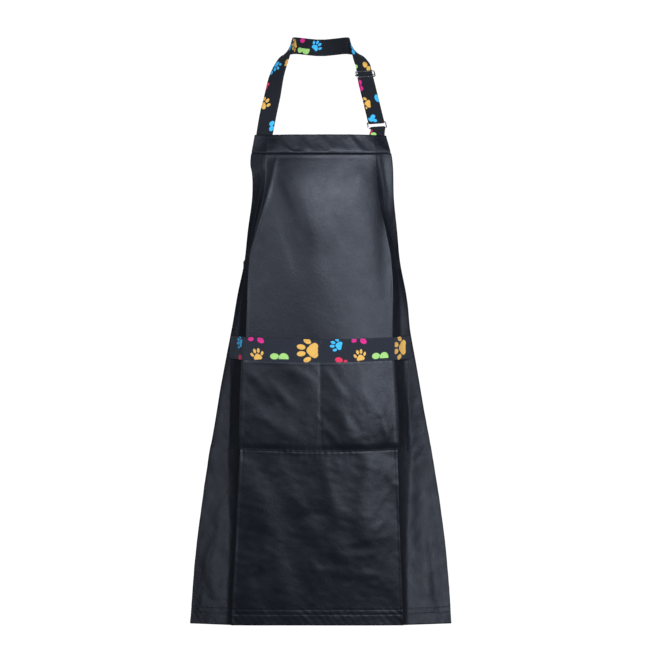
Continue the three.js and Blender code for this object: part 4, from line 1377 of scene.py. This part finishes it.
LIGHT_TINT = (0.89, 0.98, 1.20)
CHEST = (0.0, -0.15, -0.4)
MIDDLE = (0.0, -0.1, -0.6)
SOFTBOXES = [  # name, place, what it points at, width, height, power
    ("top", (0.25, -1.9, 0.35), CHEST, 1.0, 0.5, 16),
    ("key", (0.45, -1.75, 0.15), CHEST, 0.8, 0.6, 8.2),
    ("right_fill", (1.1, -1.9, -0.45), MIDDLE, 0.5, 0.9, 6.2),
    ("pocket_fill", (0.45, -1.6, -0.64), (0.08, -0.15, -0.7), 0.3, 0.5, 5),
    ("left_fill", (-0.75, -1.6, -0.1), CHEST, 0.6, 0.8, 5.6),
    ("left_front", (-2.3, -1.4, -0.5), MIDDLE, 0.8, 2.0, 4.8),
    ("right_wall", (2.6, -0.55, -1.1), MIDDLE, 0.9, 1.2, 15),
    ("left_wall", (-2.6, -0.55, -1.0), MIDDLE, 0.9, 1.2, 7.5),
    ("back", (0.0, 2.6, 0.6), (0, 0, -0.5), 1.8, 1.4, 70),
]


def softbox(name, place, target, width, height, power):
    data = bpy.data.lights.new(name, "AREA")
    data.shape, data.size, data.size_y, data.energy = "RECTANGLE", width, height, power
    data.color = LIGHT_TINT
    light = bpy.data.objects.new(name, data)
    light.location = place
    aim(light, target)
    bpy.context.collection.objects.link(light)


def make_stage():
    """A pale floor below the apron, which the cloth doesn't reflect."""
    mesh = bpy.data.meshes.new("floor")
    x, near, far, level = 2.2, -3.2, 1.15, -1.32
    corners = [(-x, near, level), (x, near, level), (x, far, level), (-x, far, level)]
    mesh.from_pydata(corners, [], [[0, 1, 2, 3]])
    floor = bpy.data.objects.new("floor", mesh)
    bpy.context.collection.objects.link(floor)
    material, _, shader = new_material("floor_paper")
    shader.inputs["Base Color"].default_value = (0.86, 0.86, 0.86, 1)
    shader.inputs["Roughness"].default_value = 0.8
    mesh.materials.append(material)
    floor.visible_diffuse = False
    floor.visible_glossy = False


def make_world():
    """White to look at, and a softer grey to be lit by."""
    world = bpy.data.worlds.new("studio")
    world.use_nodes = True
    tree = world.node_tree
    tree.nodes.clear()
    path = put(tree, "ShaderNodeLightPath")
    seen = put(tree, "ShaderNodeBackground", [("Color", (1, 1, 1, 1)), ("Strength", 1.05)])
    lit = put(tree, "ShaderNodeBackground", [("Color", (0.80, 0.90, 1.1, 1)), ("Strength", 0.06)])
    blend = put(tree, "ShaderNodeMixShader", [(0, path.outputs["Is Camera Ray"]), (1, lit.outputs[0]),
                                              (2, seen.outputs[0])])
    output = put(tree, "ShaderNodeOutputWorld")
    tree.links.new(blend.outputs[0], output.inputs["Surface"])
    bpy.context.scene.world = world


bpy.context.scene.view_settings.view_transform = "Standard"
make_camera()
make_world()
make_stage()
for box in SOFTBOXES:
    softbox(*box)
LOOKS = make_materials()
make_panel(LOOKS)
make_pocket(LOOKS)
make_hems(LOOKS)
make_stitching(LOOKS)
make_tacks(LOOKS)
make_neck_strap(LOOKS)
make_strap_run(LOOKS)
make_strap_end(LOOKS)
make_ring_tab(LOOKS)
make_metal(LOOKS)
make_ties(LOOKS)
